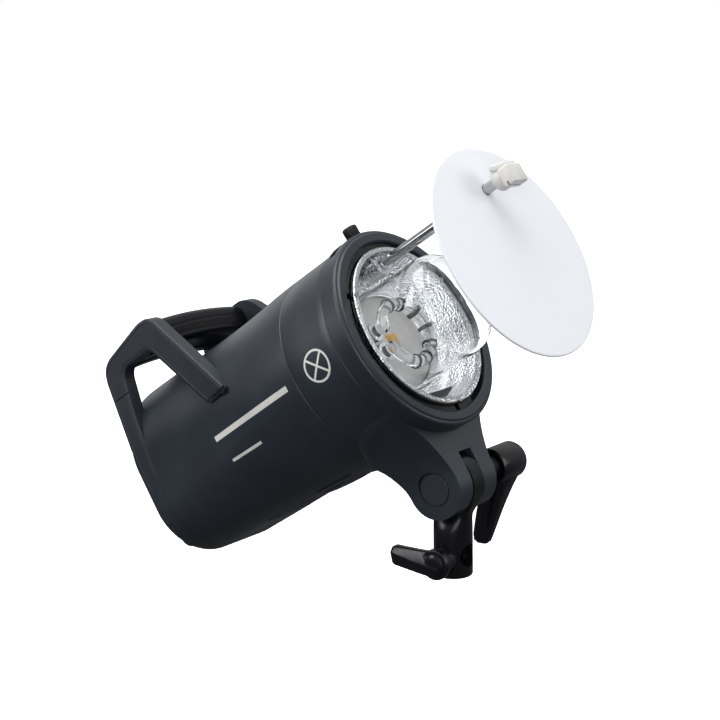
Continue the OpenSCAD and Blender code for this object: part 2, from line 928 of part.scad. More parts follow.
module usb_socket() {
    color(steel)
    lamp()
    translate([usb_spot[0], usb_spot[1], panel_z - panel_t - 0.3])
    difference() {
        translate([-6, -3, 0]) cube([12, 6, 9]);
        translate([-5.4, -2.4, -past]) cube([10.8, 4.8, 8]);
    }
}

module light_sensor() {
    color([0.35, 0.05, 0.06])
    lamp()
    translate(concat(sensor_spot, [panel_z - panel_t - 0.6]))
    union() {
        cylinder(r = 4, h = 6, $fn = 48);
        sphere(3.6, $fn = 48);
    }
}

module cover_screws() {
    color(deep_black)
    lamp()
    for (sx = [-1, 1])
        for (sy = [-1, 1])
            translate([sx * 50, sy * 26 - 6, panel_z - 1.5])
            mirror([0, 0, 1])
                screw(2.3, 1.5, 6.5);
}

module tilt_bolt() {
    color(steel)
    lamp()
    translate([0, -pivot_drop, -pivot_back])
    rotate([0, 90, 0]) {
        translate([0, 0, -19.2]) linear_extrude(6.4) hex(17);
        translate([0, 0, -12.9]) cylinder(r = bolt_r, h = hub_in + hub_len - 9 + 12.9, $fn = 64);
    }
}

module bolt_cap() {
    color(body_paint)
    lamp()
    translate([-half_fork, -pivot_drop, -pivot_back])
    rotate([0, 90, 0])
        cylinder(r = 11, h = 2.8, $fn = 96);
}

// The threaded nut stands off from the ear and carries the lever's hub
module tilt_nut() {
    color(deep_black)
    difference() {
        along_axle(half_fork + 0.2, hub_in + 6.1 - half_fork) circle(nut_r);
        along_axle(half_fork - 1, hub_len + 10) circle(bolt_r + run_gap, $fn = 64);
    }
}

module tilt_lever() {
    thin = 7.5;
    tip_r = 5;
    color(satin_black)
    difference() {
        union() {
            along_axle(hub_in, hub_len) circle(hub_r);
            hull() {
                along_axle(hub_in + 2, hub_len - 5) circle(hub_r - 1.5, $fn = soft);
                translate([0, 8.5, tip_r - lever_len])
                along_axle(hub_in + 2.5, thin) circle(tip_r, $fn = soft);
                translate([0, 10, -lever_len * 0.55])
                along_axle(hub_in + 2, thin + 6) circle(tip_r - 1.5, $fn = soft);
            }
        }
        along_axle(hub_in - past, 5 + past) circle(hub_r - 2.2);
        along_axle(hub_in - past, 6.3 + past) circle(nut_r);
        along_axle(hub_in, hub_len - 8) circle(bolt_r + move_gap, $fn = 64);
        along_axle(hub_in + hub_len - 2, 3) circle(8);
    }
}

module lever_cap() {
    color(deep_black)
    along_axle(hub_in + hub_len - 2, 1.6) circle(8 - seat_gap / 2);
}

module friction_washers() {
    color(steel)
    for (side = [half_tongue, -half_tongue - washer_t])
        difference() {
            along_axle(side, washer_t) circle(ear_r - 1.5);
            along_axle(side - past, 2) circle(bolt_r + 1);
        }
}

// The tongue seen from the side: a disc round the axle that necks down to the column
module tongue_side() {
    fillet = 20;
    reach = sqrt(pow(tongue_r + fillet, 2) - pow(column_r + fillet, 2));
    touch = tongue_r / (tongue_r + fillet);
    translate([0, pivot_h]) circle(tongue_r);
    translate([-column_r, shoulder_h - 12]) square([column_d, pivot_h - reach - shoulder_h + 12]);
    difference() {
        translate([-(column_r + fillet) * touch, pivot_h - reach])
            square([2 * (column_r + fillet) * touch, reach * (1 - touch)]);
        for (sy = [-1, 1])
            translate([sy * (column_r + fillet), pivot_h - reach]) circle(fillet, $fn = 120);
    }
}

module bracket() {
    lug_r = 9;
    color(satin_black)
    difference() {
        union() {
            rotate_extrude()
                polygon([[0, 0], [column_r - 1, 0], [column_r, 1], [column_r, shoulder_h - 5],
                    [column_r - 1.4, shoulder_h - 1.6], [column_r - 4, shoulder_h], [0, shoulder_h]]);
            translate([-half_tongue, 0, 0])
            rotate([90, 0, 90])
            linear_extrude(2 * half_tongue)
                tongue_side();
            translate([0, 0, lock_h])
            rotate([0, -90, 0])
                cylinder(r = lug_r, h = 17);
        }
        translate([0, 0, -past]) cylinder(r = socket_d / 2, h = socket_depth + past);
        translate([0, 40, cross_h]) rotate([90, 0, 0]) cylinder(r = cross_d / 2, h = 80);
        translate([0, 0, lock_h]) rotate([0, -90, 0]) cylinder(r = lock_d / 2 + run_gap, h = 30, $fn = 64);
        along_axle(-20, 40) circle(bolt_r + run_gap, $fn = 64);
        translate([0, 0, -20]) cylinder(r = 40, h = 20);
    }
}

module lock_screw() {
    color(steel)
    translate([-socket_d / 2 - 0.3, 0, lock_h])
    rotate([0, -90, 0])
        cylinder(r = lock_d / 2, h = 14.5, $fn = 64);
}

// The lock lever: a domed hub with a flat paddle that tapers to a round tip
module lock_lever() {
    hub = 10.5;
    start = 17.6;
    rise = 8;
    color(satin_black)
    difference() {
        translate([-start, 0, lock_h])
        rotate([0, -90, 0])
        rotate([0, 0, -rise])
        union() {
            rotate_extrude()
                polygon([[0, 0], [hub - 1, 0], [hub, 1], [hub, 5], [hub - 2, 7.4], [hub - 5, 8.8], [0, 9.4]]);
            hull() {
                translate([0, 2, 0]) cylinder(r = hub - 1, h = 6.5, $fn = soft);
                translate([0, paddle_len - 5, 0.5]) cylinder(r = 5, h = 5, $fn = soft);
            }
            hull() {
                translate([0, 3, 3]) cylinder(r = 3.5, h = 6.2, $fn = soft);
                translate([0, paddle_len - 7, 3]) cylinder(r = 1.2, h = 4, $fn = soft);
            }
        }
        translate([-start + 1, 0, lock_h])
        rotate([0, -90, 0])
            cylinder(r = lock_d / 2, h = 6.5, $fn = 64);
    }
}

module deflector_rod() {
    color(bright)
    lamp()
    translate([0, rod_rise, -60])
    difference() {
        cylinder(r = rod_r, h = disc_out + clip_off + 18 + 60, $fn = 64);
        translate([0, 0, -past]) cylinder(r = rod_r - 0.9, h = disc_out + 60, $fn = 48);
    }
}

// Leans a shape with the disc, about the disc's own centre
module on_disc() {
    translate([0, disc_rise, disc_out])
    rotate([1.9, -2.2, 0])
        children();
}

module deflector_disc() {
    color([0.95, 0.96, 0.98, 0.8])
    lamp()
    difference() {
        on_disc()
        rotate_extrude($fn = 180) {
            square([disc_d / 2 - disc_t / 2, disc_t]);
            translate([disc_d / 2 - disc_t / 2, disc_t / 2]) circle(disc_t / 2, $fn = 32);
        }
        translate([0, rod_rise, disc_out - 20]) cylinder(r = rod_r + 0.5, h = 40, $fn = 64);
    }
}

// The clip: a sleeve on the disc, a lobed grip round the rod's end and a square flange
module deflector_clip() {
    grip = rod_r + 4;
    color([0.9, 0.9, 0.88])
    lamp()
    difference() {
        on_disc()
        translate([0, rod_rise - disc_rise, disc_t])
        union() {
            cylinder(r = rod_r + 1.2, h = clip_off + 1, $fn = 64);
            translate([0, 0, clip_off]) cylinder(r = grip, h = 10, $fn = 64);
            translate([-grip - 1, -grip - 0.5, clip_off + 9]) cube([2 * grip + 2, 2 * grip + 1, 8]);
        }
        translate([0, rod_rise, disc_out - 30]) cylinder(r = rod_r + run_gap, h = clip_off + 48.5, $fn = 64);
    }
}

front_shell();
collar();
bayonet_ring();
lock_ring();
lock_knob();
barrel();
rear_cover();
handle_plate_left();
handle_plate_right();
grip_bar();
grip_screws();
reflector();
rim_screws();
umbrella_tube();
tube_bush();
glass_dome();
flash_tube();
trigger_bands();
tube_sockets();
lamp_base();
model_light();
bulkhead();
fan_frame();
fan_rotor();
capacitor_1();
capacitor_2();
capacitor_3();
capacitor_4();
power_board();
control_board();
rear_panel();
display_window();
dial();
button_1();
button_2();
button_3();
button_4();
test_button();
power_switch();
power_inlet();
inlet_pins();
sync_socket();
usb_socket();
light_sensor();
cover_screws();
tilt_bolt();
bolt_cap();
tilt_nut();
tilt_lever();
lever_cap();
friction_washers();
bracket();
lock_screw();
lock_lever();
deflector_rod();
deflector_disc();
deflector_clip();
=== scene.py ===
import bpy
import bmesh
import json
from math import pi, sin, cos, tan, radians, sqrt, hypot, asin, atan2
from mathutils import Matrix, Vector


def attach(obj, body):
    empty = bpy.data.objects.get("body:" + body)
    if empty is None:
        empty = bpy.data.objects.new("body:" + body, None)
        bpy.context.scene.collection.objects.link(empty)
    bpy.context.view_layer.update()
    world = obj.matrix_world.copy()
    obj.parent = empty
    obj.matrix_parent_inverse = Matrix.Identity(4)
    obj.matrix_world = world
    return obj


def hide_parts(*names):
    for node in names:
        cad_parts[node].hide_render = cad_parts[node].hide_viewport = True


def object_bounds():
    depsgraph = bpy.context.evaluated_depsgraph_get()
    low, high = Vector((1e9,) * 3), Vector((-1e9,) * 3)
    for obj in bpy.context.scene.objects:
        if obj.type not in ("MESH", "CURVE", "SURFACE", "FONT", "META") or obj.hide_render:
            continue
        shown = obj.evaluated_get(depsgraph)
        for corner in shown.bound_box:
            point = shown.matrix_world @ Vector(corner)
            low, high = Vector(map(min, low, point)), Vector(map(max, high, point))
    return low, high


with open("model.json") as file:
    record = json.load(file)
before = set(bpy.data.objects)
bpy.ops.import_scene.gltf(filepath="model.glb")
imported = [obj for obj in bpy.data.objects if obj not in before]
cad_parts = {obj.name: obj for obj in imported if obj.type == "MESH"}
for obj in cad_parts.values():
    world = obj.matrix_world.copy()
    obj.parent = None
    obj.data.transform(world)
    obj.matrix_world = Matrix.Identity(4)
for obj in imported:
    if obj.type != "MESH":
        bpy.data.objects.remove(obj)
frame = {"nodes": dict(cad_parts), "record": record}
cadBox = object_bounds()
record = frame["record"]
scene = bpy.context.scene
mm = 0.001
print("frame loaded")

# the lamp's own frame: x across, y up from the centre line, z forward, read from the joints and mounts
joints = {joint["name"]: joint for joint in record["behaviour"]["joints"]}
mounts = {mount["name"]: mount for mount in record["mounts"]}
forward = Vector(mounts["front_mount"]["axis"]).normalized()
across = Vector((1, 0, 0))
upward = forward.cross(across)
rimStep = 1.1 * mm   # the front mount's face stands this far before the collar's rim
lampOrigin = Vector(mounts["front_mount"]["pos_m"]) - forward * rimStep
lampMatrix = Matrix((across, upward, forward)).transposed().to_4x4()
lampMatrix.translation = lampOrigin
pivot = Vector(joints["head_tilt"]["pos_m"])
pivotInLamp = lampMatrix.inverted() @ pivot

camera = {
    "place": (-0.8097, -0.5295, 0.3272),
    "azimuth": -53.26,
    "elevation": 10.58,
    "roll": -1.06,
    "lens": 75.16,
}


def makeCamera(values):
    data = bpy.data.cameras.new("camera")
    data.lens = values["lens"]
    data.sensor_width = 36
    data.clip_start = 0.05
    data.clip_end = 60
    eye = bpy.data.objects.new("camera", data)
    turn = Matrix.Rotation(radians(values["azimuth"]), 4, "Z")
    tip = Matrix.Rotation(radians(90 - values["elevation"]), 4, "X")
    roll = Matrix.Rotation(radians(values["roll"]), 4, "Z")
    eye.matrix_world = Matrix.Translation(values["place"]) @ turn @ tip @ roll
    scene.collection.objects.link(eye)
    scene.camera = eye


studio = {
    "floorDrop": 0.16,
    "floorRadius": 14,
    "floorGlow": 0.8,
    # height of the direction from -1 below to 1 above, and how bright the room is there
    "worldRamp": [(-1, 0.08), (-0.3, 0.12), (0.0, 0.24), (0.35, 0.42), (1, 0.6)],
    "lights": [
        # name, place, aims at, size, power, tint
        ("overhead", (-0.25, 0.25, 1.5), (0, 0.05, 0.15), (1.3, 0.9), 12, (1, 1, 1)),
        ("key", (-1.0, 0.85, 0.75), (-0.05, 0.16, 0.14), (0.45, 0.9), 7, (0.97, 0.98, 1)),
        ("front", (0.9, -1.6, 0.8), (0, -0.05, 0.2), (0.9, 0.9), 9.5, (1, 0.99, 0.98)),
        ("side", (-1.5, -0.9, 0.5), (0, 0.05, 0.15), (0.7, 1.0), 7.5, (1, 1, 1)),
        ("rim", (1.0, 1.6, 0.45), (0, 0.1, 0.16), (1.2, 0.5), 1.3, (1, 1, 1)),
    ],
}


def makeStudio(values):
    lowest = cadBox[0][2] - values["floorDrop"]
    mesh = bpy.data.meshes.new("floor")
    shape = bmesh.new()
    bmesh.ops.create_circle(shape, cap_ends=True, segments=64, radius=values["floorRadius"])
    bmesh.ops.translate(shape, verts=shape.verts, vec=(0, 0, lowest))
    shape.to_mesh(mesh)
    shape.free()
    floor = bpy.data.objects.new("floor", mesh)
    scene.collection.objects.link(floor)
    paper = bpy.data.materials.new("paper floor")
    paper.use_nodes = True
    shader = paper.node_tree.nodes["Principled BSDF"]
    shader.inputs["Base Color"].default_value = (0.9, 0.9, 0.9, 1)
    shader.inputs["Roughness"].default_value = 0.9
    shader.inputs["Specular IOR Level"].default_value = 0
    shader.inputs["Emission Color"].default_value = (1, 1, 1, 1)
    shader.inputs["Emission Strength"].default_value = values["floorGlow"]
    mesh.materials.append(paper)
    # the paper is bright, and doesn't throw its light back on the object
    floor.visible_diffuse = False
    floor.visible_glossy = False
    world = bpy.data.worlds.new("studio")
    scene.world = world
    world.use_nodes = True
    links = world.node_tree.links
    background = world.node_tree.nodes["Background"]
    where = world.node_tree.nodes.new("ShaderNodeTexCoord")
    split = world.node_tree.nodes.new("ShaderNodeSeparateXYZ")
    links.new(where.outputs["Generated"], split.inputs[0])
    ramp = world.node_tree.nodes.new("ShaderNodeValToRGB")
    ramp.color_ramp.elements.remove(ramp.color_ramp.elements[0])
    for height, shade in values["worldRamp"]:
        step = ramp.color_ramp.elements.new(height * 0.5 + 0.5)
        step.color = (shade * 0.97, shade * 0.985, shade, 1)
    ramp.color_ramp.elements.remove(ramp.color_ramp.elements[-1])
    lift = world.node_tree.nodes.new("ShaderNodeMath")
    lift.operation = "MULTIPLY_ADD"
    lift.inputs[1].default_value = 0.5
    lift.inputs[2].default_value = 0.5
    links.new(split.outputs["Z"], lift.inputs[0])
    links.new(lift.outputs[0], ramp.inputs["Fac"])
    # the camera itself sees a plain white backdrop, in front of it and through the glass
    path = world.node_tree.nodes.new("ShaderNodeLightPath")
    seen = world.node_tree.nodes.new("ShaderNodeMath")
    seen.operation = "MAXIMUM"
    links.new(path.outputs["Is Camera Ray"], seen.inputs[0])
    links.new(path.outputs["Is Transmission Ray"], seen.inputs[1])
    mix = world.node_tree.nodes.new("ShaderNodeMix")
    mix.data_type = "RGBA"
    mix.inputs[7].default_value = (1, 1, 1, 1)
    links.new(seen.outputs[0], mix.inputs["Factor"])
    links.new(ramp.outputs["Color"], mix.inputs[6])
    links.new(mix.outputs[2], background.inputs["Color"])
    for name, place, target, size, power, tint in values["lights"]:
        data = bpy.data.lights.new(name, "AREA")
        data.shape = "RECTANGLE"
        data.size = size[0]
        data.size_y = size[1]
        data.energy = power
        data.color = tint
        lamp = bpy.data.objects.new(name, data)
        aim = Vector(target) - Vector(place)
        lamp.matrix_world = Matrix.Translation(place) @ aim.to_track_quat("-Z", "Y").to_matrix().to_4x4()
        lamp.visible_camera = False
        scene.collection.objects.link(lamp)


makeCamera(camera)
makeStudio(studio)
scene.view_settings.view_transform = "Standard"
print("camera and studio ready")


def addNode(material, kind, **values):
    node = material.node_tree.nodes.new(kind)
    for name, value in values.items():
        setattr(node, name, value)
    return node


def newMaterial(name, color, roughness, metallic=0.0, specular=0.5):
    material = bpy.data.materials.new(name)
    material.use_nodes = True
    shader = material.node_tree.nodes["Principled BSDF"]
    shader.inputs["Base Color"].default_value = (*color, 1)
    shader.inputs["Roughness"].default_value = roughness
    shader.inputs["Metallic"].default_value = metallic
    shader.inputs["Specular IOR Level"].default_value = specular
    return material, shader


def coordinates(material, scale=(1, 1, 1)):
    where = addNode(material, "ShaderNodeTexCoord")
    mapping = addNode(material, "ShaderNodeMapping")
    mapping.inputs["Scale"].default_value = scale
    material.node_tree.links.new(where.outputs["Object"], mapping.inputs["Vector"])
    return mapping.outputs["Vector"]


def grain(material, vector, scale, detail=3.0, rough=0.55):
    noise = addNode(material, "ShaderNodeTexNoise")
    noise.inputs["Scale"].default_value = scale
    noise.inputs["Detail"].default_value = detail
    noise.inputs["Roughness"].default_value = rough
    material.node_tree.links.new(vector, noise.inputs["Vector"])
    return noise.outputs["Fac"]


def remap(material, value, low, high, toLow, toHigh):
    node = addNode(material, "ShaderNodeMapRange")
    node.inputs["From Min"].default_value = low
    node.inputs["From Max"].default_value = high
    node.inputs["To Min"].default_value = toLow
    node.inputs["To Max"].default_value = toHigh
    material.node_tree.links.new(value, node.inputs["Value"])
    return node.outputs["Result"]


def addBump(material, shader, height, distance, strength=1.0, under=None):
    bump = addNode(material, "ShaderNodeBump")
    bump.inputs["Distance"].default_value = distance
    bump.inputs["Strength"].default_value = strength
    material.node_tree.links.new(height, bump.inputs["Height"])
    if under is not None:
        material.node_tree.links.new(under, bump.inputs["Normal"])
    material.node_tree.links.new(bump.outputs["Normal"], shader.inputs["Normal"])
    return bump.outputs["Normal"]


def grainedFinish(name, color, roughness, spread, grainSize, depth, specular=0.5, paintedSheen=0.0):
    # a moulded or painted skin: fine grain in the bump, slow drift in gloss and tone; the last value lifts
    # the lighter tone into pale patches, a painted sheen on dark parts
    material, shader = newMaterial(name, color, roughness, specular=specular)
    links = material.node_tree.links
    vector = coordinates(material)
    fine = grain(material, vector, 1 / grainSize, 2.0)
    slow = grain(material, vector, 28, 4.0)
    links.new(remap(material, slow, 0.3, 0.7, roughness - spread, roughness + spread),
              shader.inputs["Roughness"])
    tone = addNode(material, "ShaderNodeMix", data_type="RGBA")
    tone.inputs[6].default_value = (*[c * 0.9 for c in color], 1)
    # painted sheen: the lighter tone is raised by the last value, so dark parts get pale patches at random
    tone.inputs[7].default_value = (*[min(1, c * 1.12 + paintedSheen) for c in color], 1)
    links.new(remap(material, slow, 0.35, 0.65, 0, 1), tone.inputs["Factor"])
    links.new(tone.outputs[2], shader.inputs["Base Color"])
    addBump(material, shader, fine, depth)
    return material


finishes = {
    "body": grainedFinish("body paint", (0.0185, 0.025, 0.034), 0.37, 0.04, 0.0006, 0.00004),
    "plate": grainedFinish("plate moulding", (0.016, 0.0215, 0.029), 0.45, 0.04, 0.0006, 0.00008),
    # the last number on these dark parts is painted sheen: pale patches standing in for their satin
    # highlights
    "black": grainedFinish("black moulding", (0.004, 0.004, 0.005), 0.42, 0.06, 0.0008, 0.00008, 0.35),
    "rubber": grainedFinish("grip rubber", (0.003, 0.0034, 0.0042), 0.3, 0.05, 0.0008, 0.00008, 0.16),
    "lever": grainedFinish("lever moulding", (0.004, 0.0045, 0.0055), 0.26, 0.04, 0.0012, 0.00003, 0.35),
    "cast": grainedFinish("cast bracket", (0.005, 0.0055, 0.0065), 0.24, 0.04, 0.0014, 0.00003, 0.3),
}


def metalFinish(name, color, roughness, spread, grainSize, depth):
    material, shader = newMaterial(name, color, roughness, metallic=1.0)
    vector = coordinates(material)
    slow = grain(material, vector, 60, 4.0)
    links = material.node_tree.links
    links.new(remap(material, slow, 0.3, 0.7, roughness - spread, roughness + spread),
              shader.inputs["Roughness"])
    addBump(material, shader, grain(material, vector, 1 / grainSize, 2.0), depth)
    return material


def hammeredFinish():
    # bright pressed aluminium: a fine pebbled skin over soft waves
    material, shader = newMaterial("hammered aluminium", (0.62, 0.63, 0.65), 0.13, metallic=1.0)
    links = material.node_tree.links
    vector = coordinates(material)
    cells = addNode(material, "ShaderNodeTexVoronoi", feature="F1")
    cells.inputs["Scale"].default_value = 660
    cells.inputs["Randomness"].default_value = 0.9
    links.new(vector, cells.inputs["Vector"])
    pebble = addBump(material, shader, cells.outputs["Distance"], 0.00045, 0.75)
    wave = grain(material, vector, 70, 2.0)
    addBump(material, shader, wave, 0.0002, 0.25, pebble)
    links.new(remap(material, wave, 0.3, 0.7, 0.08, 0.16), shader.inputs["Roughness"])
    return material


def clearFinish(name, color, roughness, ior):
    material, shader = newMaterial(name, color, roughness)
    shader.inputs["Transmission Weight"].default_value = 1.0
    shader.inputs["IOR"].default_value = ior
    return material


def discFinish():
    # opal plastic: even, slightly cool, with a fine frosted skin that lets some light through
    material, shader = newMaterial("frosted disc", (0.85, 0.87, 0.93), 0.42, specular=0.3)
    shader.inputs["Subsurface Weight"].default_value = 0.35
    shader.inputs["Subsurface Radius"].default_value = (0.003, 0.003, 0.003)
    shader.inputs["Subsurface Scale"].default_value = 1.0
    vector = coordinates(material)
    links = material.node_tree.links
    slow = grain(material, vector, 12, 2.0)
    links.new(remap(material, slow, 0.3, 0.7, 0.38, 0.46), shader.inputs["Roughness"])
    addBump(material, shader, grain(material, vector, 1400, 2.0), 0.00003)
    return material


finishes["reflector"] = hammeredFinish()
finishes["steel"] = metalFinish("zinc steel", (0.56, 0.57, 0.59), 0.3, 0.08, 0.0008, 0.00003)
finishes["chrome"] = metalFinish("chrome", (0.5, 0.5, 0.51), 0.1, 0.03, 0.002, 0.00001)
finishes["glass"] = clearFinish("dome glass", (0.985, 0.995, 1.0), 0.0, 1.47)
finishes["flash"] = clearFinish("flash glass", (0.98, 0.99, 1.0), 0.02, 1.46)
finishes["ceramic"] = grainedFinish("pale base", (0.78, 0.77, 0.74), 0.45, 0.05, 0.001, 0.00005)
finishes["light"] = grainedFinish("amber chip", (0.85, 0.5, 0.12), 0.35, 0.04, 0.001, 0.00002)
finishes["board"] = grainedFinish("circuit board", (0.02, 0.11, 0.05), 0.35, 0.05, 0.002, 0.0001)
finishes["sleeve"] = grainedFinish("can sleeve", (0.01, 0.02, 0.08), 0.25, 0.04, 0.003, 0.00003)
finishes["panel"] = grainedFinish("gloss panel", (0.006, 0.006, 0.007), 0.12, 0.03, 0.003, 0.00001)
finishes["display"] = grainedFinish("display window", (0.012, 0.02, 0.028), 0.06, 0.02, 0.003, 0.00001)
finishes["sensor"] = grainedFinish("sensor lens", (0.10, 0.004, 0.006), 0.1, 0.02, 0.003, 0.00001)
finishes["disc"] = discFinish()
finishes["clip"] = grainedFinish("pale clip", (0.66, 0.65, 0.62), 0.42, 0.05, 0.0012, 0.00006)
print("materials made")


slotOf = {part["node"]: part["material_slot"] for part in record["subparts"]}
for name, node in frame["nodes"].items():
    material = finishes[slotOf[name]]
    if node.material_slots:
        for slot in node.material_slots:
            slot.material = material
    else:
        node.data.materials.append(material)
print("CAD nodes finished")


# from here every piece is drawn in millimetres, in the lamp's frame unless it says otherwise

def makePiece(shape, name, body, slotName, replaced=(), inLamp=True, crease=38):
    size = Matrix.Scale(mm, 4)
    bmesh.ops.transform(shape, matrix=lampMatrix @ size if inLamp else size, verts=shape.verts)
    mesh = bpy.data.meshes.new(name)
    shape.to_mesh(mesh)
    shape.free()
    mesh.shade_smooth()
    mesh.set_sharp_from_angle(angle=radians(crease))
    mesh.materials.append(finishes[slotName])
    piece = bpy.data.objects.new(name, mesh)
    scene.collection.objects.link(piece)
    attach(piece, body)
    if replaced:
        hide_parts(*replaced)
    return piece


def outward(shape, distance=0.002):
    bmesh.ops.remove_doubles(shape, verts=shape.verts, dist=distance)
    bmesh.ops.recalc_face_normals(shape, faces=shape.faces)


def roundEdges(piece, width, segments=3, angle=35):
    bevel = piece.modifiers.new("rounded edges", "BEVEL")
    bevel.width = width * mm
    bevel.segments = segments
    bevel.limit_method = "ANGLE"
    bevel.angle_limit = radians(angle)


def addLine(shape, points):
    verts = [shape.verts.new(point) for point in points]
    return verts, [shape.edges.new(pair) for pair in zip(verts, verts[1:])]


def lathe(profile, steps=128, closed=False):
    # a line of (radius, height) spun about the z axis
    shape = bmesh.new()
    verts, edges = addLine(shape, [(radius, 0, height) for radius, height in profile])
    if closed:
        edges.append(shape.edges.new((verts[-1], verts[0])))
    bmesh.ops.spin(shape, geom=verts + edges, cent=(0, 0, 0), axis=(0, 0, 1), dvec=(0, 0, 0),
                   angle=2 * pi, steps=steps, use_merge=True, use_duplicate=False)
    outward(shape)
    return shape


def roundedSquare(angle, half, up, down, corner):
    # distance from the middle to a square-shouldered outline, in the direction of angle
    a, b = abs(cos(angle)), abs(sin(angle))
    reach = up if sin(angle) >= 0 else down
    cx, cy = half - corner, reach - corner
    if a > 1e-6 and half / a * b <= cy:
        return half / a
    if b > 1e-6 and reach / b * a <= cx:
        return reach / b
    along = a * cx + b * cy
    return along + sqrt(max(0, along * along - (cx * cx + cy * cy - corner * corner)))


def ring(shape, segments, place):
    # a circle whose points are moved by place(angle)
    made = bmesh.ops.create_circle(shape, segments=segments, radius=1)["verts"]
    edges = list({edge for vert in made for edge in vert.link_edges})
    for vert in made:
        vert.co = place(atan2(vert.co.y, vert.co.x))
    return edges


def loft(shape, rings, closeStart=True, closeEnd=True):
    for first, second in zip(rings, rings[1:]):
        bmesh.ops.bridge_loops(shape, edges=first + second)
    if closeStart:
        bmesh.ops.contextual_create(shape, geom=rings[0])
    if closeEnd:
        bmesh.ops.contextual_create(shape, geom=rings[-1])


def lookUp(table, value):
    for (x0, y0), (x1, y1) in zip(table, table[1:]):
        if value <= x1:
            part = min(1, max(0, (value - x0) / (x1 - x0)))
            return y0 + (y1 - y0) * part
    return table[-1][1]


def cutAway(shape, cutter, operation="DIFFERENCE"):
    # a true boolean of two bmeshes, made through two objects that are removed again
    things = []
    for part in (shape, cutter):
        mesh = bpy.data.meshes.new("cut")
        part.to_mesh(mesh)
        part.free()
        thing = bpy.data.objects.new("cut", mesh)
        scene.collection.objects.link(thing)
        things.append(thing)
    whole, tool = things
    cut = whole.modifiers.new("cut", "BOOLEAN")
    cut.operation = operation
    cut.solver = "EXACT"
    cut.object = tool
    cut.use_self = True
    bpy.context.view_layer.update()
    result = bmesh.new()
    result.from_object(whole, bpy.context.evaluated_depsgraph_get())
    for thing in things:
        bpy.data.objects.remove(thing)
    return result


def joinOn(shape, other):
    return cutAway(shape, other, "UNION")


def cylinder(shape, radius, start, end, segments=64, axis="Z", center=(0, 0, 0)):
    # a capped cylinder that runs from start to end along an axis through center
    made = bmesh.ops.create_cone(shape, cap_ends=True, segments=segments, radius1=radius, radius2=radius,
                                 depth=abs(end - start))
    turn = {"Z": Matrix.Identity(4), "X": Matrix.Rotation(pi / 2, 4, "Y"),
            "Y": Matrix.Rotation(-pi / 2, 4, "X")}[axis]
    along = turn @ Vector((0, 0, (start + end) / 2))
    bmesh.ops.transform(shape, matrix=Matrix.Translation(Vector(center) + along) @ turn, verts=made["verts"])
    return made["verts"]


def block(shape, low, high):
    made = bmesh.ops.create_cube(shape, size=1)["verts"]
    low, high = Vector(low), Vector(high)
    bmesh.ops.scale(shape, verts=made, vec=high - low)
    bmesh.ops.translate(shape, verts=made, vec=(low + high) / 2)
    return made


housing = {
    "segments": 160,
    "wall": 3,
    "smooth": 3,
    # the opening behind the rear panel: across, up
    "opening": ((-42, 42), (-48, 28)),
    # two groups of long slots in the belly, between these places behind the rim
    "vents": [(88, 122), (138, 172)],
    "ventCount": 7,
    "ventPitch": 8,
    "ventWidth": 3.4,
    # where the tail's smoothed rows start, and the rows that the inner wall follows
    "tailFrom": 218.7,
    "insideRows": (217, 220, 230),
    "openingFrom": 222,
    "cutClear": 4,
    "ventCorner": 8,
    "ventReach": 9,
    "ventRecess": 1.4,
    "stations": [
        # behind the rim, half width, up, down, corner
        (57.4, 70.0, 70.0, 70.0, 69.9),
        (57.8, 70.4, 70.4, 70.4, 70.3),
        (62, 70.5, 70.5, 70.5, 70.4),
        (70, 70.4, 70.4, 70.4, 70.3),
        (80, 70.0, 70.0, 70.0, 69.8),
        (91, 69.2, 69.2, 69.2, 68.8),
        (103, 68.2, 68.3, 68.2, 66.5),
        (114, 67.1, 67.3, 67.1, 63),
        (125, 66.1, 66.5, 66.1, 59),
        (136, 65.0, 65.8, 65.0, 55),
        (146, 64.1, 65.3, 64.2, 51.5),
        (155, 63.6, 65.0, 63.6, 49),
        (165, 63.4, 64.8, 63.3, 47.5),
        (190, 63.3, 64.6, 62.8, 45),
        (205, 63.3, 64.5, 62.6, 44),
        (214, 63.3, 64.4, 62.5, 44),
        (217.7, 63.3, 64.3, 62.5, 44),
        (217.9, 62.8, 63.8, 62.0, 43.5),
        (218.5, 62.8, 63.8, 62.0, 43.5),
        (218.7, 63.3, 64.2, 62.5, 44),
        (222, 63.3, 63.6, 62.5, 43.6),
        (226, 63.1, 62.0, 62.3, 43),
        (229.5, 62.6, 59.2, 61.9, 42),
        (232.2, 61.8, 56.0, 61.2, 41),
        (234.4, 60.6, 53.0, 60.0, 40),
        (236, 59.2, 50.6, 58.4, 39),
        (237, 57.2, 48.2, 56.4, 37.6),
    ],
}


def betweenStations(rows, steps):
    # a smooth curve through the stations, so that the tail has no corners
    result = []
    for index in range(len(rows) - 1):
        before, first, second, after = (rows[min(max(index + shift, 0), len(rows) - 1)] for shift in (-1, 0,
                                                                                                      1, 2))
        for step in range(steps):
            t = step / steps
            result.append(tuple(
                0.5 * (2 * b + (c - a) * t + (2 * a - 5 * b + 4 * c - d) * t * t
                       + (3 * b - a - 3 * c + d) * t ** 3)
                for a, b, c, d in zip(before, first, second, after)))
    return result + [rows[-1]]


def addLoops(shape, axis, places):
    normal = Vector((0, 0, 0))
    normal[axis] = 1
    for place in places:
        bmesh.ops.bisect_plane(shape, geom=shape.verts[:] + shape.edges[:] + shape.faces[:],
                               plane_co=normal * place, plane_no=normal)


def outline(back, half, up, down, corner, inset=0):
    def place(angle):
        reach = roundedSquare(angle, half, up, down, corner) - inset
        return Vector((reach * cos(angle), reach * sin(angle), -back))
    return place


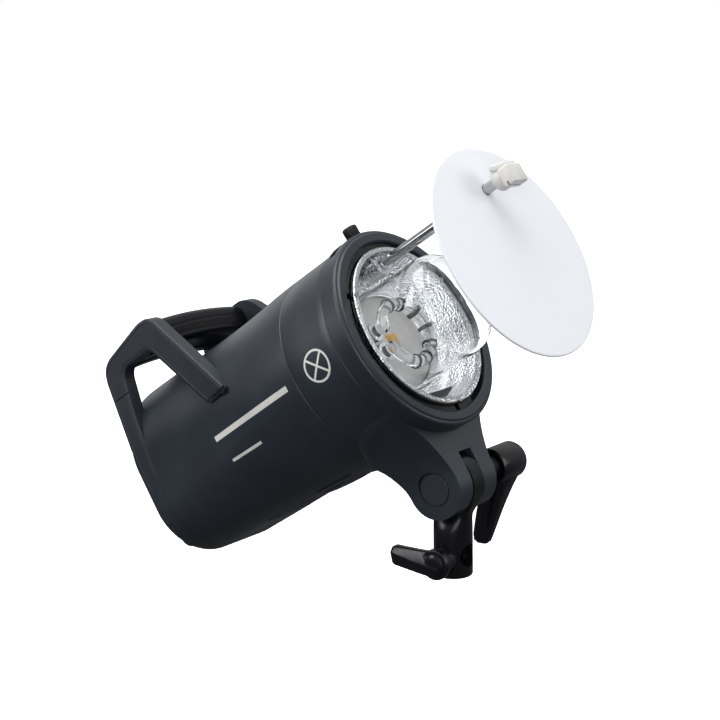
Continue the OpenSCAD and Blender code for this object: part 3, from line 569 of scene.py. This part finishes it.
def makeHousing(values):
    shape = bmesh.new()
    rows = values["stations"]
    tail = [row for row in rows if row[0] >= values["tailFrom"]]
    outside = [row for row in rows if row[0] < values["tailFrom"]] + betweenStations(tail, values["smooth"])
    rings = [ring(shape, values["segments"], outline(*row)) for row in outside]
    wall = values["wall"]
    insideEnd, edgeEnd, rearWall = values["insideRows"]
    inside = [row for row in rows if row[0] < insideEnd or edgeEnd < row[0] < rearWall]
    innerRings = [ring(shape, values["segments"], outline(*row, inset=wall)) for row in inside]
    loft(shape, rings, closeStart=False)
    loft(shape, innerRings, closeStart=False)
    bmesh.ops.bridge_loops(shape, edges=rings[0] + innerRings[0])
    outward(shape)
    (left, right), (low, high) = values["opening"]
    clear = values["cutClear"]
    cutter = bmesh.new()
    block(cutter, (left, low, -rows[-1][0] - clear), (right, high, -values["openingFrom"]))
    shape = cutAway(shape, cutter)
    # each group of vents lies in a shallow recess of its own
    count, pitch = values["ventCount"], values["ventPitch"]
    for front, rear in values["vents"]:
        cutter = bmesh.new()
        reach = count * pitch / 2
        low = -lookUp([(row[0], row[3]) for row in rows], (front + rear) / 2)
        block(cutter, (-reach, low - 2 * clear, -rear - clear),
              (reach, low + values["ventRecess"], clear - front))
        upright = [edge for edge in cutter.edges if abs(edge.verts[0].co.y - edge.verts[1].co.y) > 1]
        bmesh.ops.bevel(cutter, geom=upright, offset=values["ventCorner"], segments=6, profile=0.5,
                        affect="EDGES", material=-1)
        shape = cutAway(shape, cutter)
        cutter = bmesh.new()
        for slot in range(count):
            middle = (slot - (count - 1) / 2) * pitch
            left, right = middle - values["ventWidth"] / 2, middle + values["ventWidth"] / 2
            block(cutter, (left, low - values["ventReach"], -rear),
                  (right, low + values["ventReach"], -front))
        shape = cutAway(shape, cutter)
    bmesh.ops.dissolve_degenerate(shape, dist=0.001, edges=shape.edges)
    makePiece(shape, "housingShell", "head", "body", ("barrel", "rear_cover"), crease=40)


makeHousing(housing)
print("housing made")


frontShell = {
    "profile": [(66.5, -57.5), (69.7, -57.3), (70.3, -56.9), (70.5, -56.2), (70.6, -40), (70.8, -22),
                (70.9, -16), (70.6, -15.2), (69.8, -14.7), (66.5, -14.5)],
}
neck = {
    "earRadius": 20.5,
    "front": -12.2,
    "half": 22.2,
    "slotHalf": 7,
    "slotRadius": 25.5,
    "top": -44,
    # half width at each height, from the ear up to the shell
    "flare": [(-130, 22.2), (-101, 22.2), (-96, 22.8), (-92, 23.8), (-87, 25.6), (-82, 27.6), (-77, 30),
              (-73, 32.2), (-69, 34.8), (-65, 37.8), (-61, 41.2), (-57, 45.2), (-53, 49.4), (-49, 53.4),
              (-44, 57)],
    # the back edge above the ear: height, place behind the rim
    "back": [(-98, -53.2), (-94, -53.4), (-90, -54), (-86, -54.9), (-82, -56), (-78, -57.4), (-74.5, -59.2),
             (-72, -61), (-70, -63), (-68, -65.6), (-66, -69), (-60, -71)],
    "roundFrom": -31,
    "roundRadius": 36,
    "roundHalf": 54,
    "blend": 7.0,
}


def makeNeck(values):
    pv, pu = pivotInLamp.y / mm, pivotInLamp.z / mm
    half = values["half"]
    shape = bmesh.new()
    # the side view, from the front of the shell down round the ear and up the back
    sideView = [(values["top"], values["front"]), (pv, values["front"])]
    sideView += [(pv - values["earRadius"] * sin(pi * step / 40),
                  pu + values["earRadius"] * cos(pi * step / 40))
                for step in range(1, 41)]
    sideView += values["back"] + [(values["top"], values["back"][-1][1])]
    verts = [shape.verts.new((-half, height, place)) for height, place in sideView]
    face = shape.faces.new(verts)
    made = bmesh.ops.extrude_face_region(shape, geom=[face])
    moved = [item for item in made["geom"] if isinstance(item, bmesh.types.BMVert)]
    bmesh.ops.translate(shape, verts=moved, vec=(2 * half, 0, 0))
    # loops to bend the flare with
    addLoops(shape, 1, [-100, -97] + [step / 2 for step in range(-188, -92, 5)])
    addLoops(shape, 2,
             [-20, -26, -31, -35, -39, -42, -45, -48] + [step / 2 for step in range(-101, -138, -4)])
    for vert in shape.verts:
        wide = lookUp(values["flare"], vert.co.y)
        behind = values["roundFrom"] - vert.co.z
        limit = values["roundHalf"]
        if behind > 0:
            around = values["roundRadius"]
            limit += sqrt(max(1, around ** 2 - min(behind, around - 0.1) ** 2)) - around
        # a soft minimum of the flare and the rounded back
        blend = values["blend"]
        gap = wide - limit
        soft = wide if gap < -blend else limit if gap > blend else wide - (gap + blend) ** 2 / (4 * blend)
        vert.co.x *= soft / half
    outward(shape)
    cutter = bmesh.new()
    radius = values["slotRadius"]
    cylinder(cutter, radius, -values["slotHalf"], values["slotHalf"], 120, "X", (0, pv, pu))
    block(cutter, (-values["slotHalf"], pv - radius - 4, pu - radius), (values["slotHalf"], pv, pu + radius))
    shape = cutAway(shape, cutter)
    cutter = bmesh.new()
    cylinder(cutter, 9.6, half, half + 12, 64, "X", (0, pv, pu))
    cylinder(cutter, 11.8, -half - 3, 0.9 - half, 96, "X", (0, pv, pu))
    shape = cutAway(shape, cutter)
    piece = makePiece(shape, "neckFork", "head", "body", ("front_shell",), crease=42)
    roundEdges(piece, 1.3, 3, 48)
    shape = bmesh.new()
    cylinder(shape, 10.9, -half - 0.1, 1.2 - half, 96, "X", (0, pv, pu))
    outward(shape)
    piece = makePiece(shape, "boltCap", "head", "body", ("bolt_cap",), crease=30)
    roundEdges(piece, 0.35, 2)


makePiece(lathe(frontShell["profile"], 160, closed=True), "frontShell", "head", "body", crease=50)
makeNeck(neck)
print("front shell and neck made")


sidePlate = {
    "thickness": 9.5,
    "edge": [(0.9, 0.5), (0.5, 0.15), (1.1, 0), (0.3, -0.35), (0.3, 0.35)],
    "lean": 5,
    "leanFrom": 28,
    # the foot sinks into the flank below this height
    "sinkFrom": 12,
    "sink": 0.0011,
    # the arm stays proud of the widening flank
    "flareFrom": 168,
    "flare": 0.072,
    # the fine joint across the rear leg: height, depth, width
    "joint": (64.6, 0.7, 0.6),
    "corner": 4,
    # place behind the rim and height of each corner
    "outline": [(-138.5, 21.5), (-116.4, 23), (-159, 97), (-166, 102), (-176, 102.5), (-217.4, 94),
                (-224.5, 89),
                (-227, 81), (-229.5, 28), (-231, -8), (-231.6, -34), (-222, -34), (-216.5, -8), (-213.4, 20),
                (-212.4, 37.6),
                (-212.0, 47.4), (-207.5, 76.6), (-202.5, 81.4), (-174, 81)],
}


def makePlate(values, side, name, replaced):
    shape = bmesh.new()
    verts = [shape.verts.new((0, height, place)) for place, height in values["outline"]]
    face = shape.faces.new(verts)
    bmesh.ops.bevel(shape, geom=verts, offset=values["corner"], offset_type="OFFSET", segments=5, profile=0.5,
                    affect="VERTICES", material=-1, clamp_overlap=True)
    bmesh.ops.recalc_face_normals(shape, faces=shape.faces)
    face = shape.faces[0]
    if face.normal.x < 0:
        face.normal_flip()
    made = bmesh.ops.extrude_face_region(shape, geom=[face])
    moved = [item for item in made["geom"] if isinstance(item, bmesh.types.BMVert)]
    bmesh.ops.translate(shape, verts=moved, vec=(values["thickness"], 0, 0))
    outer = [item for item in made["geom"] if isinstance(item, bmesh.types.BMFace)][0]
    # a chamfer, then a fine line inside it
    for thickness, depth in values["edge"]:
        bmesh.ops.inset_region(shape, faces=[outer], thickness=thickness, depth=depth, use_even_offset=True)
    addLoops(shape, 1, (values["leanFrom"], values["sinkFrom"], 4, -4, -12, -20, -28))
    inner = housing["stations"][14][1] + 0.4 - values["thickness"] - 0.8
    for vert in shape.verts:
        # leans in above the shoulder, and sinks into the flank at the foot
        over = max(0, vert.co.y - values["leanFrom"])
        under = max(0, values["sinkFrom"] - vert.co.y)
        flare = max(0, vert.co.z + values["flareFrom"]) * values["flare"]
        vert.co.x = (inner + vert.co.x + flare - over * tan(radians(values["lean"]))
                     - under ** 2 * values["sink"]) * side
    bmesh.ops.recalc_face_normals(shape, faces=shape.faces)
    height, depth, width = values["joint"]
    face = inner + values["thickness"] - (height - values["leanFrom"]) * tan(radians(values["lean"])) + 0.5
    cutter = bmesh.new()
    block(cutter, (min(side * (face - depth), side * (face + 4)), height - width / 2, -240),
          (max(side * (face - depth), side * (face + 4)), height + width / 2, -205))
    shape = cutAway(shape, cutter)
    piece = makePiece(shape, name, "head", "plate", replaced, crease=32)
    roundEdges(piece, 0.5, 2, 40)


makePlate(sidePlate, -1, "sidePlateLeft", ("handle_plate_left",))
makePlate(sidePlate, 1, "sidePlateRight", ("handle_plate_right",))
print("side plates made")


grip = {
    "reach": 50.5,
    "rise": 3.5,
    # the grip's section: height, place behind the rim
    "section": [(84.5, -172.5), (86.5, -171.2), (88.2, -171.9), (89.4, -171.4), (93.5, -170.2), (95, -171),
                (96.5, -170.3),
                (101, -171.6), (104, -174.5), (105.3, -179), (105.2, -190), (103.6, -200), (100.5, -208),
                (95.5, -213.6),
                (90, -214.8), (86, -212.8), (84.2, -208.5), (83.6, -200), (84.6, -198.6), (84.6, -187),
                (83.6, -185.5), (83.4, -177)],
}


def makeGrip(values):
    shape = bmesh.new()
    bow = (values["reach"] ** 2 + values["rise"] ** 2) / 2 / values["rise"]
    top = max(height for height, place in values["section"])
    swing = asin(values["reach"] / bow)
    verts = [shape.verts.new((0, height, place)) for height, place in values["section"]]
    shape.faces.new(verts)
    bmesh.ops.bevel(shape, geom=verts, offset=0.9, offset_type="OFFSET", segments=3, profile=0.5,
                    affect="VERTICES", material=-1, clamp_overlap=True)
    center = (0, top - bow, 0)
    bmesh.ops.rotate(shape, verts=shape.verts, cent=center, matrix=Matrix.Rotation(swing, 3, "Z"))
    bmesh.ops.spin(shape, geom=shape.verts[:] + shape.edges[:] + shape.faces[:], cent=center,
                   axis=(0, 0, -1), dvec=(0, 0, 0),
                   angle=2 * swing, steps=24, use_merge=False, use_duplicate=False)
    outward(shape)
    makePiece(shape, "handGrip", "head", "rubber", ("grip_bar",), crease=40)


makeGrip(grip)
print("grip made")


dome = {
    "wall": 2.1,
    "outside": [(36.5, -20.8), (36.5, 24), (36.3, 28), (35.6, 31.6), (34.4, 34.4), (32.4, 37.2),
                (30.6, 39.1), (30.0, 39.3), (29.2, 40.3), (26.4, 42.6),
                (22, 45.3), (17.5, 47.3), (12, 48.7), (6, 49.35), (0, 49.5)],
}


def makeDome(values):
    outside = values["outside"]
    wall = values["wall"]
    inside = []
    for step, (radius, height) in enumerate(outside):
        before = outside[max(0, step - 1)]
        after = outside[min(len(outside) - 1, step + 1)]
        run = Vector((after[0] - before[0], after[1] - before[1])).normalized()
        inside.append((max(0, radius - run.y * wall), height + run.x * wall))
    inside[-1] = (0, outside[-1][1] - wall)
    profile = outside + inside[::-1]
    shape = lathe(profile[:-1] + [(outside[0][0] - wall, outside[0][1])], 128, closed=True)
    makePiece(shape, "domeGlass", "head", "glass", ("glass_dome",), crease=50)
    # the ground foot of the glass, under its fixing lugs
    foot = lathe([(37.4, -24.2), (37.4, -21.4), (36.8, -20.9), (34.3, -20.9), (34.3, -24.2)], 96, closed=True)
    makePiece(foot, "domeFoot", "head", "steel", crease=30)


makeDome(dome)
print("dome made")


knob = {
    "angle": 95,
    "stem": -8.45,
    "from": 72.9,
    "reach": 80.4,
    "radius": 5.3,
    "ribs": 12,
}


def makeKnob(values):
    shape = bmesh.new()
    base, top, radius = values["from"], values["reach"], values["radius"]
    verts, edges = addLine(shape,
                           [(0.0, 0, base), (radius - 0.5, 0, base), (radius, 0, base + 0.5),
                            (radius, 0, base + 1.1), (radius - 0.4, 0, base + 1.5),
                                   (radius, 0, base + 1.9), (radius, 0, top - 1.2),
                                   (radius - 0.35, 0, top - 0.5), (radius - 1.1, 0, top - 0.1),
                                   (radius - 2.2, 0, top), (0.0, 0, top + 0.15)])
    bmesh.ops.spin(shape, geom=verts + edges, cent=(0, 0, 0), axis=(0, 0, 1), dvec=(0, 0, 0), angle=2 * pi,
                   steps=values["ribs"] * 6, use_merge=True, use_duplicate=False)
    outward(shape)
    for vert in shape.verts:
        # shallow flutes round the side, faded out at the top
        flat = hypot(vert.co.x, vert.co.y)
        if flat > radius - 0.6 and base + 1.6 < vert.co.z < top - 0.2:
            wave = 0.5 + 0.5 * cos(values["ribs"] * atan2(vert.co.y, vert.co.x))
            scale = 1 - 0.09 * wave ** 2
            vert.co.x *= scale
            vert.co.y *= scale
    # the knob stands along +y of the lamp, then turns to its place on the collar
    bmesh.ops.rotate(shape, verts=shape.verts, cent=(0, 0, 0), matrix=Matrix.Rotation(-pi / 2, 3, "X"))
    bmesh.ops.translate(shape, verts=shape.verts, vec=(0, 0, values["stem"]))
    block(shape, (-2, 60.9, values["stem"] - 2.4), (2, base + 0.4, values["stem"] + 2.4))
    block(shape, (-2, 60.9, -18.4), (2, 62.7, -8.4))
    bmesh.ops.rotate(shape, verts=shape.verts, cent=(0, 0, 0),
                     matrix=Matrix.Rotation(radians(values["angle"] - 90), 3, "Z"))
    makePiece(shape, "releaseKnob", "mount_lock", "black", ("lock_knob",), crease=35)


makeKnob(knob)
print("knob made")


bracket = {
    "tongueHalf": 6.2,
    "tongue": 21,
    "axle": 63,
    # height, half width in x, half depth in y, squareness of the section
    "stations": [(0, 12.4, 12.4, 2), (0.4, 12.9, 12.9, 2), (1.2, 13.2, 13.2, 2), (26, 13.2, 13.2, 2),
                 (30, 13.1, 13.2, 2), (33, 12.7, 13.2, 2.05), (35.5, 11.9, 13.2, 2.15),
                 (38, 10.6, 13.2, 2.35), (40.2, 9.2, 13.25, 2.7), (42.4, 8.0, 13.5, 3.2),
                 (44.6, 7.1, 14.2, 4), (47, 6.5, 15.6, 5), (50, 6.2, 17.6, 7), (54, 6.2, 19.3, 9),
                 (58, 6.2, 20.0, 10)],
    "socket": (8.2, 40.5),
    "cross": (7.95, 15),
    "lockHeight": 12,
    "lug": (9, 17),
}


def makeBracket(values):
    shape = bmesh.new()
    rings = []
    for height, halfX, halfY, square in values["stations"]:
        def place(angle, height=height, halfX=halfX, halfY=halfY, square=square):
            a, b = abs(cos(angle)), abs(sin(angle))
            reach = (a ** square + b ** square) ** (-1 / square)
            return Vector((halfX * reach * cos(angle), halfY * reach * sin(angle), height))
        rings.append(ring(shape, 96, place))
    loft(shape, rings)
    outward(shape)
    tongue = values["tongueHalf"]
    disc = bmesh.new()
    cylinder(disc, values["tongue"], -tongue, tongue, 120, "X", (0, 0, values["axle"]))
    lug = bmesh.new()
    radius, reach = values["lug"]
    cylinder(lug, radius, -reach, -6, 64, "X", (0, 0, values["lockHeight"]))
    shape = joinOn(joinOn(shape, disc), lug)
    bore = bmesh.new()
    radius, depth = values["socket"]
    cylinder(bore, radius, -3, depth, 96)
    shape = cutAway(shape, bore)
    bore = bmesh.new()
    radius, height = values["cross"]
    cylinder(bore, radius, -30, 30, 96, "Y", (0, 0, height))
    shape = cutAway(shape, bore)
    bore = bmesh.new()
    cylinder(bore, 5.05, -20, 20, 64, "X", (0, 0, values["axle"]))
    shape = cutAway(shape, bore)
    bore = bmesh.new()
    cylinder(bore, 3.05, -24, -4, 48, "X", (0, 0, values["lockHeight"]))
    shape = cutAway(shape, bore)
    piece = makePiece(shape, "standBracket", "stand_bracket", "cast", ("bracket",), inLamp=False, crease=45)
    roundEdges(piece, 0.8, 3, 45)


makeBracket(bracket)
print("bracket made")


tiltHandle = {
    "hubRadius": 13,
    "inner": 47,
    "outer": 76,
    # the arm from the hub to its tip: depth below the axle, front edge, back edge, inner face, outer face
    "arm": [(-2, -11.5, 11.5, 48.5, 74.5), (-9, -10.5, 12.4, 48.8, 73.2), (-17, -7.2, 12.8, 49, 70.5),
            (-26, -4.2, 13.4, 49.2, 67),
            (-35, -1.6, 15, 49.2, 63.8), (-44, 0.8, 16.2, 49.2, 61), (-51, 2.8, 17, 49.4, 58.8),
            (-55.4, 4.4, 16.6, 49.9, 57.8),
            (-57.4, 6.6, 14.4, 51.2, 56.4)],
    "axle": 63,
}


def makeTiltHandle(values):
    shape = bmesh.new()
    rings = []
    for depth, front, back, inner, outer in values["arm"]:
        def place(angle, depth=depth, front=front, back=back, inner=inner, outer=outer):
            a, b = abs(cos(angle)), abs(sin(angle))
            reach = (a ** 3.4 + b ** 3.4) ** (-1 / 3.4)
            x = (inner + outer) / 2 + (outer - inner) / 2 * reach * cos(angle)
            y = (front + back) / 2 + (back - front) / 2 * reach * sin(angle)
            return Vector((x, y, values["axle"] + depth))
        rings.append(ring(shape, 48, place))
    loft(shape, rings)
    outward(shape)
    hub = bmesh.new()
    r, inner, outer = values["hubRadius"], values["inner"], values["outer"]
    line = [(r - 3.4, inner + 4.6), (r - 3, inner + 0.3), (r - 1.2, inner), (r - 0.3, inner + 0.6),
            (r, inner + 1.8), (r, outer - 1.6), (r - 0.5, outer - 0.5),
            (r - 1.6, outer), (8.6, outer), (8.2, outer - 0.6), (0, outer - 0.6)]
    verts, edges = addLine(hub, [(place, 0, values["axle"] + radius) for radius, place in line])
    bmesh.ops.spin(hub, geom=verts + edges, cent=(0, 0, values["axle"]), axis=(1, 0, 0), dvec=(0, 0, 0),
                   angle=2 * pi,
                   steps=96, use_merge=True, use_duplicate=False)
    # close the hub's inner end behind the recess
    rim = [edge for edge in hub.edges if len(edge.link_faces) == 1]
    bmesh.ops.contextual_create(hub, geom=rim)
    outward(hub)
    shape = joinOn(shape, hub)
    piece = makePiece(shape, "tiltHandle", "tilt_lever", "lever", ("tilt_lever", "lever_cap"), inLamp=False,
                      crease=40)
    roundEdges(piece, 0.6, 2, 50)
    # the plug in the hub's outer end
    plug = lathe([(0, 0.35), (6.6, 0.35), (7.4, 0.2), (7.8, -0.2), (7.8, -1.2)], 64)
    bmesh.ops.rotate(plug, verts=plug.verts, cent=(0, 0, 0), matrix=Matrix.Rotation(pi / 2, 3, "Y"))
    bmesh.ops.translate(plug, verts=plug.verts, vec=(outer - 0.5, 0, values["axle"]))
    makePiece(plug, "handlePlug", "tilt_lever", "black", inLamp=False, crease=35)


makeTiltHandle(tiltHandle)

lockHandle = {
    "height": 12,
    "start": 17.5,
    "rise": 2,
    "hub": (10.4, 6.2),
    "crown": [(0, 8.3), (3.6, 8.2), (5.8, 7.8), (7.2, 7), (7.8, 5.8), (7.8, 3)],
    # along the paddle: distance from the hub, lower edge, upper edge, the ridge's place,
    # height at the edges, height at the ridge
    "paddle": [(-4, -9.8, 8.8, -2.4, 5, 8.8), (5, -9.4, 8, -1.6, 5.2, 9), (14, -8.6, 7.4, -0.4, 5.4, 9),
               (24, -7.6, 7, 1.2, 5.6, 8.9), (32.6, -6.8, 6.8, 2.6, 5.6, 8.6),
               (34.6, -5.4, 5.6, 2.4, 5, 7.4)],
}


def makeLockHandle(values):
    shape = bmesh.new()
    rings = []
    for along, low, high, ridge, edge, top in values["paddle"]:
        points = [(low, 0.4), (low, edge), (ridge, top), (high, edge), (high, 0.4)]
        verts, edges = addLine(shape, [(x, along, z) for x, z in points])
        rings.append(edges + [shape.edges.new((verts[-1], verts[0]))])
    loft(shape, rings)
    outward(shape)
    bmesh.ops.bevel(shape, geom=shape.edges, offset=0.9, segments=3, profile=0.5, affect="EDGES",
                    material=-1, clamp_overlap=True)
    hub = bmesh.new()
    radius, depth = values["hub"]
    cylinder(hub, radius, 0, depth, 96)
    level = [edge for edge in hub.edges if abs(edge.verts[0].co.z - edge.verts[1].co.z) < 0.01]
    bmesh.ops.bevel(hub, geom=level, offset=1,
                    segments=3, profile=0.5, affect="EDGES", material=-1)
    crown = lathe(values["crown"], 64)
    rim = [edge for edge in crown.edges if len(edge.link_faces) == 1]
    bmesh.ops.contextual_create(crown, geom=rim)
    outward(crown)
    shape = joinOn(joinOn(shape, hub), crown)
    # drawn lying flat with the paddle along y, then stood on the side of the column
    turn = Matrix.Rotation(-pi / 2, 4, "Y") @ Matrix.Rotation(radians(-values["rise"]), 4, "Z")
    bmesh.ops.transform(shape, matrix=Matrix.Translation((-values["start"], 0, values["height"])) @ turn,
                        verts=shape.verts)
    makePiece(shape, "lockHandle", "lock_lever", "lever", ("lock_lever",), inLamp=False, crease=32)


makeLockHandle(lockHandle)
print("levers made")


clip = {
    "height": 47.5,
    "base": 95.4,
    # the lobed grip: radius, place
    "profile": [(3.58, 8), (5.4, 8), (6.7, 8.7), (7.5, 10.2), (7.6, 12.6), (7.5, 15.2), (7.2, 17.4),
                (3.58, 17.4)],
    # the folded flange: low and high corners
    "flange": ((-8.2, -8.6, 15.6), (8.2, 4.4, 24.6)),
    "tab": ((-7.4, 4, 10.8), (7.4, 8.6, 22.6)),
    "tabTilt": 16,
    "groove": ((-9.4, -9.6, 18.8), (9.4, -5.4, 20.2)),
    "end": 21,
}


def makeClip(values):
    shape = lathe(values["profile"], 72, closed=True)
    for corners, tilt in ((values["flange"], 0), (values["tab"], values["tabTilt"])):
        part = bmesh.new()
        block(part, *corners)
        bmesh.ops.bevel(part, geom=part.edges[:], offset=1.5, segments=4, profile=0.5, affect="EDGES",
                        material=-1)
        middle = (Vector(corners[0]) + Vector(corners[1])) / 2
        bmesh.ops.rotate(part, verts=part.verts, cent=middle, matrix=Matrix.Rotation(radians(tilt), 3, "X"))
        shape = joinOn(shape, part)
    cutter = bmesh.new()
    block(cutter, *values["groove"])
    shape = cutAway(shape, cutter)
    bore = bmesh.new()
    cylinder(bore, 3.58, -4, values["end"], 48)
    shape = cutAway(shape, bore)
    bmesh.ops.translate(shape, verts=shape.verts, vec=(0, values["height"], values["base"]))
    piece = makePiece(shape, "snapClip", "deflector", "clip", ("deflector_clip",), crease=38)
    roundEdges(piece, 0.35, 2, 45)


makeClip(clip)
print("clip made")


marks = {
    "lift": 0.06,
    # place behind the rim, angle round the body, radius and line width
    "lampSign": {"back": 35, "angle": 180, "radius": 11, "line": 1.5},
    # start and end behind the rim, angle, height of the bar
    "bars": [(66, 149, 181, 4.2), (111, 143, 197.5, 2.2)],
}


def onFlank(angle, back):
    # the point on the body at that angle and place
    reach = 70.6
    if back > 57:
        rows = sorted(housing["stations"], key=lambda row: abs(row[0] - back))[:2]
        (b0, *s0), (b1, *s1) = sorted(rows)
        part = min(1, max(0, (back - b0) / (b1 - b0))) if b1 > b0 else 0
        shapeHere = [x + (y - x) * part for x, y in zip(s0, s1)]
        reach = roundedSquare(angle, *shapeHere)
    else:
        reach = lookUp([(14, 70.95), (22, 70.8), (40, 70.6), (56, 70.5)], back)
    return Vector((cos(angle), sin(angle), 0)) * (reach + marks["lift"]) + Vector((0, 0, -back))


def wrapFlat(shape, centerBack, centerAngle):
    # wraps a flat drawing (x along the body, y round it, in millimetres) on the flank
    for vert in shape.verts:
        x, y = vert.co.x, vert.co.y
        vert.co = onFlank(centerAngle + y / 70, centerBack - x)


def makeMarks(values):
    shape = bmesh.new()
    sign = values["lampSign"]
    outer = ring(shape, 64,
                 lambda angle: Vector((sign["radius"] * cos(angle), sign["radius"] * sin(angle), 0)))
    inner = ring(shape, 64,
                 lambda angle: Vector(((sign["radius"] - sign["line"]) * cos(angle),
                                       (sign["radius"] - sign["line"]) * sin(angle), 0)))
    bmesh.ops.bridge_loops(shape, edges=outer + inner)
    for turn in (pi / 4, -pi / 4):
        bar = bmesh.ops.create_grid(shape, x_segments=24, y_segments=2, size=1)["verts"]
        bmesh.ops.scale(shape, verts=bar, vec=(sign["radius"] - sign["line"] * 0.7, sign["line"] / 2, 1))
        bmesh.ops.rotate(shape, verts=bar, cent=(0, 0, 0), matrix=Matrix.Rotation(turn, 3, "Z"))
    wrapFlat(shape, sign["back"], radians(sign["angle"]))
    for start, end, angle, height in values["bars"]:
        part = bmesh.new()
        made = bmesh.ops.create_grid(part, x_segments=40, y_segments=3, size=1)["verts"]
        bmesh.ops.scale(part, verts=made, vec=((end - start) / 2, height / 2, 1))
        wrapFlat(part, (start + end) / 2, radians(angle))
        mesh = bpy.data.meshes.new("bar")
        part.to_mesh(mesh)
        part.free()
        shape.from_mesh(mesh)
        bpy.data.meshes.remove(mesh)
    for face in shape.faces:
        face.normal_update()
        if face.normal.dot(Vector((face.calc_center_median().x, face.calc_center_median().y, 0))) < 0:
            face.normal_flip()
    makePiece(shape, "flankMarks", "head", "clip", crease=60)


makeMarks(marks)
print("marks made")
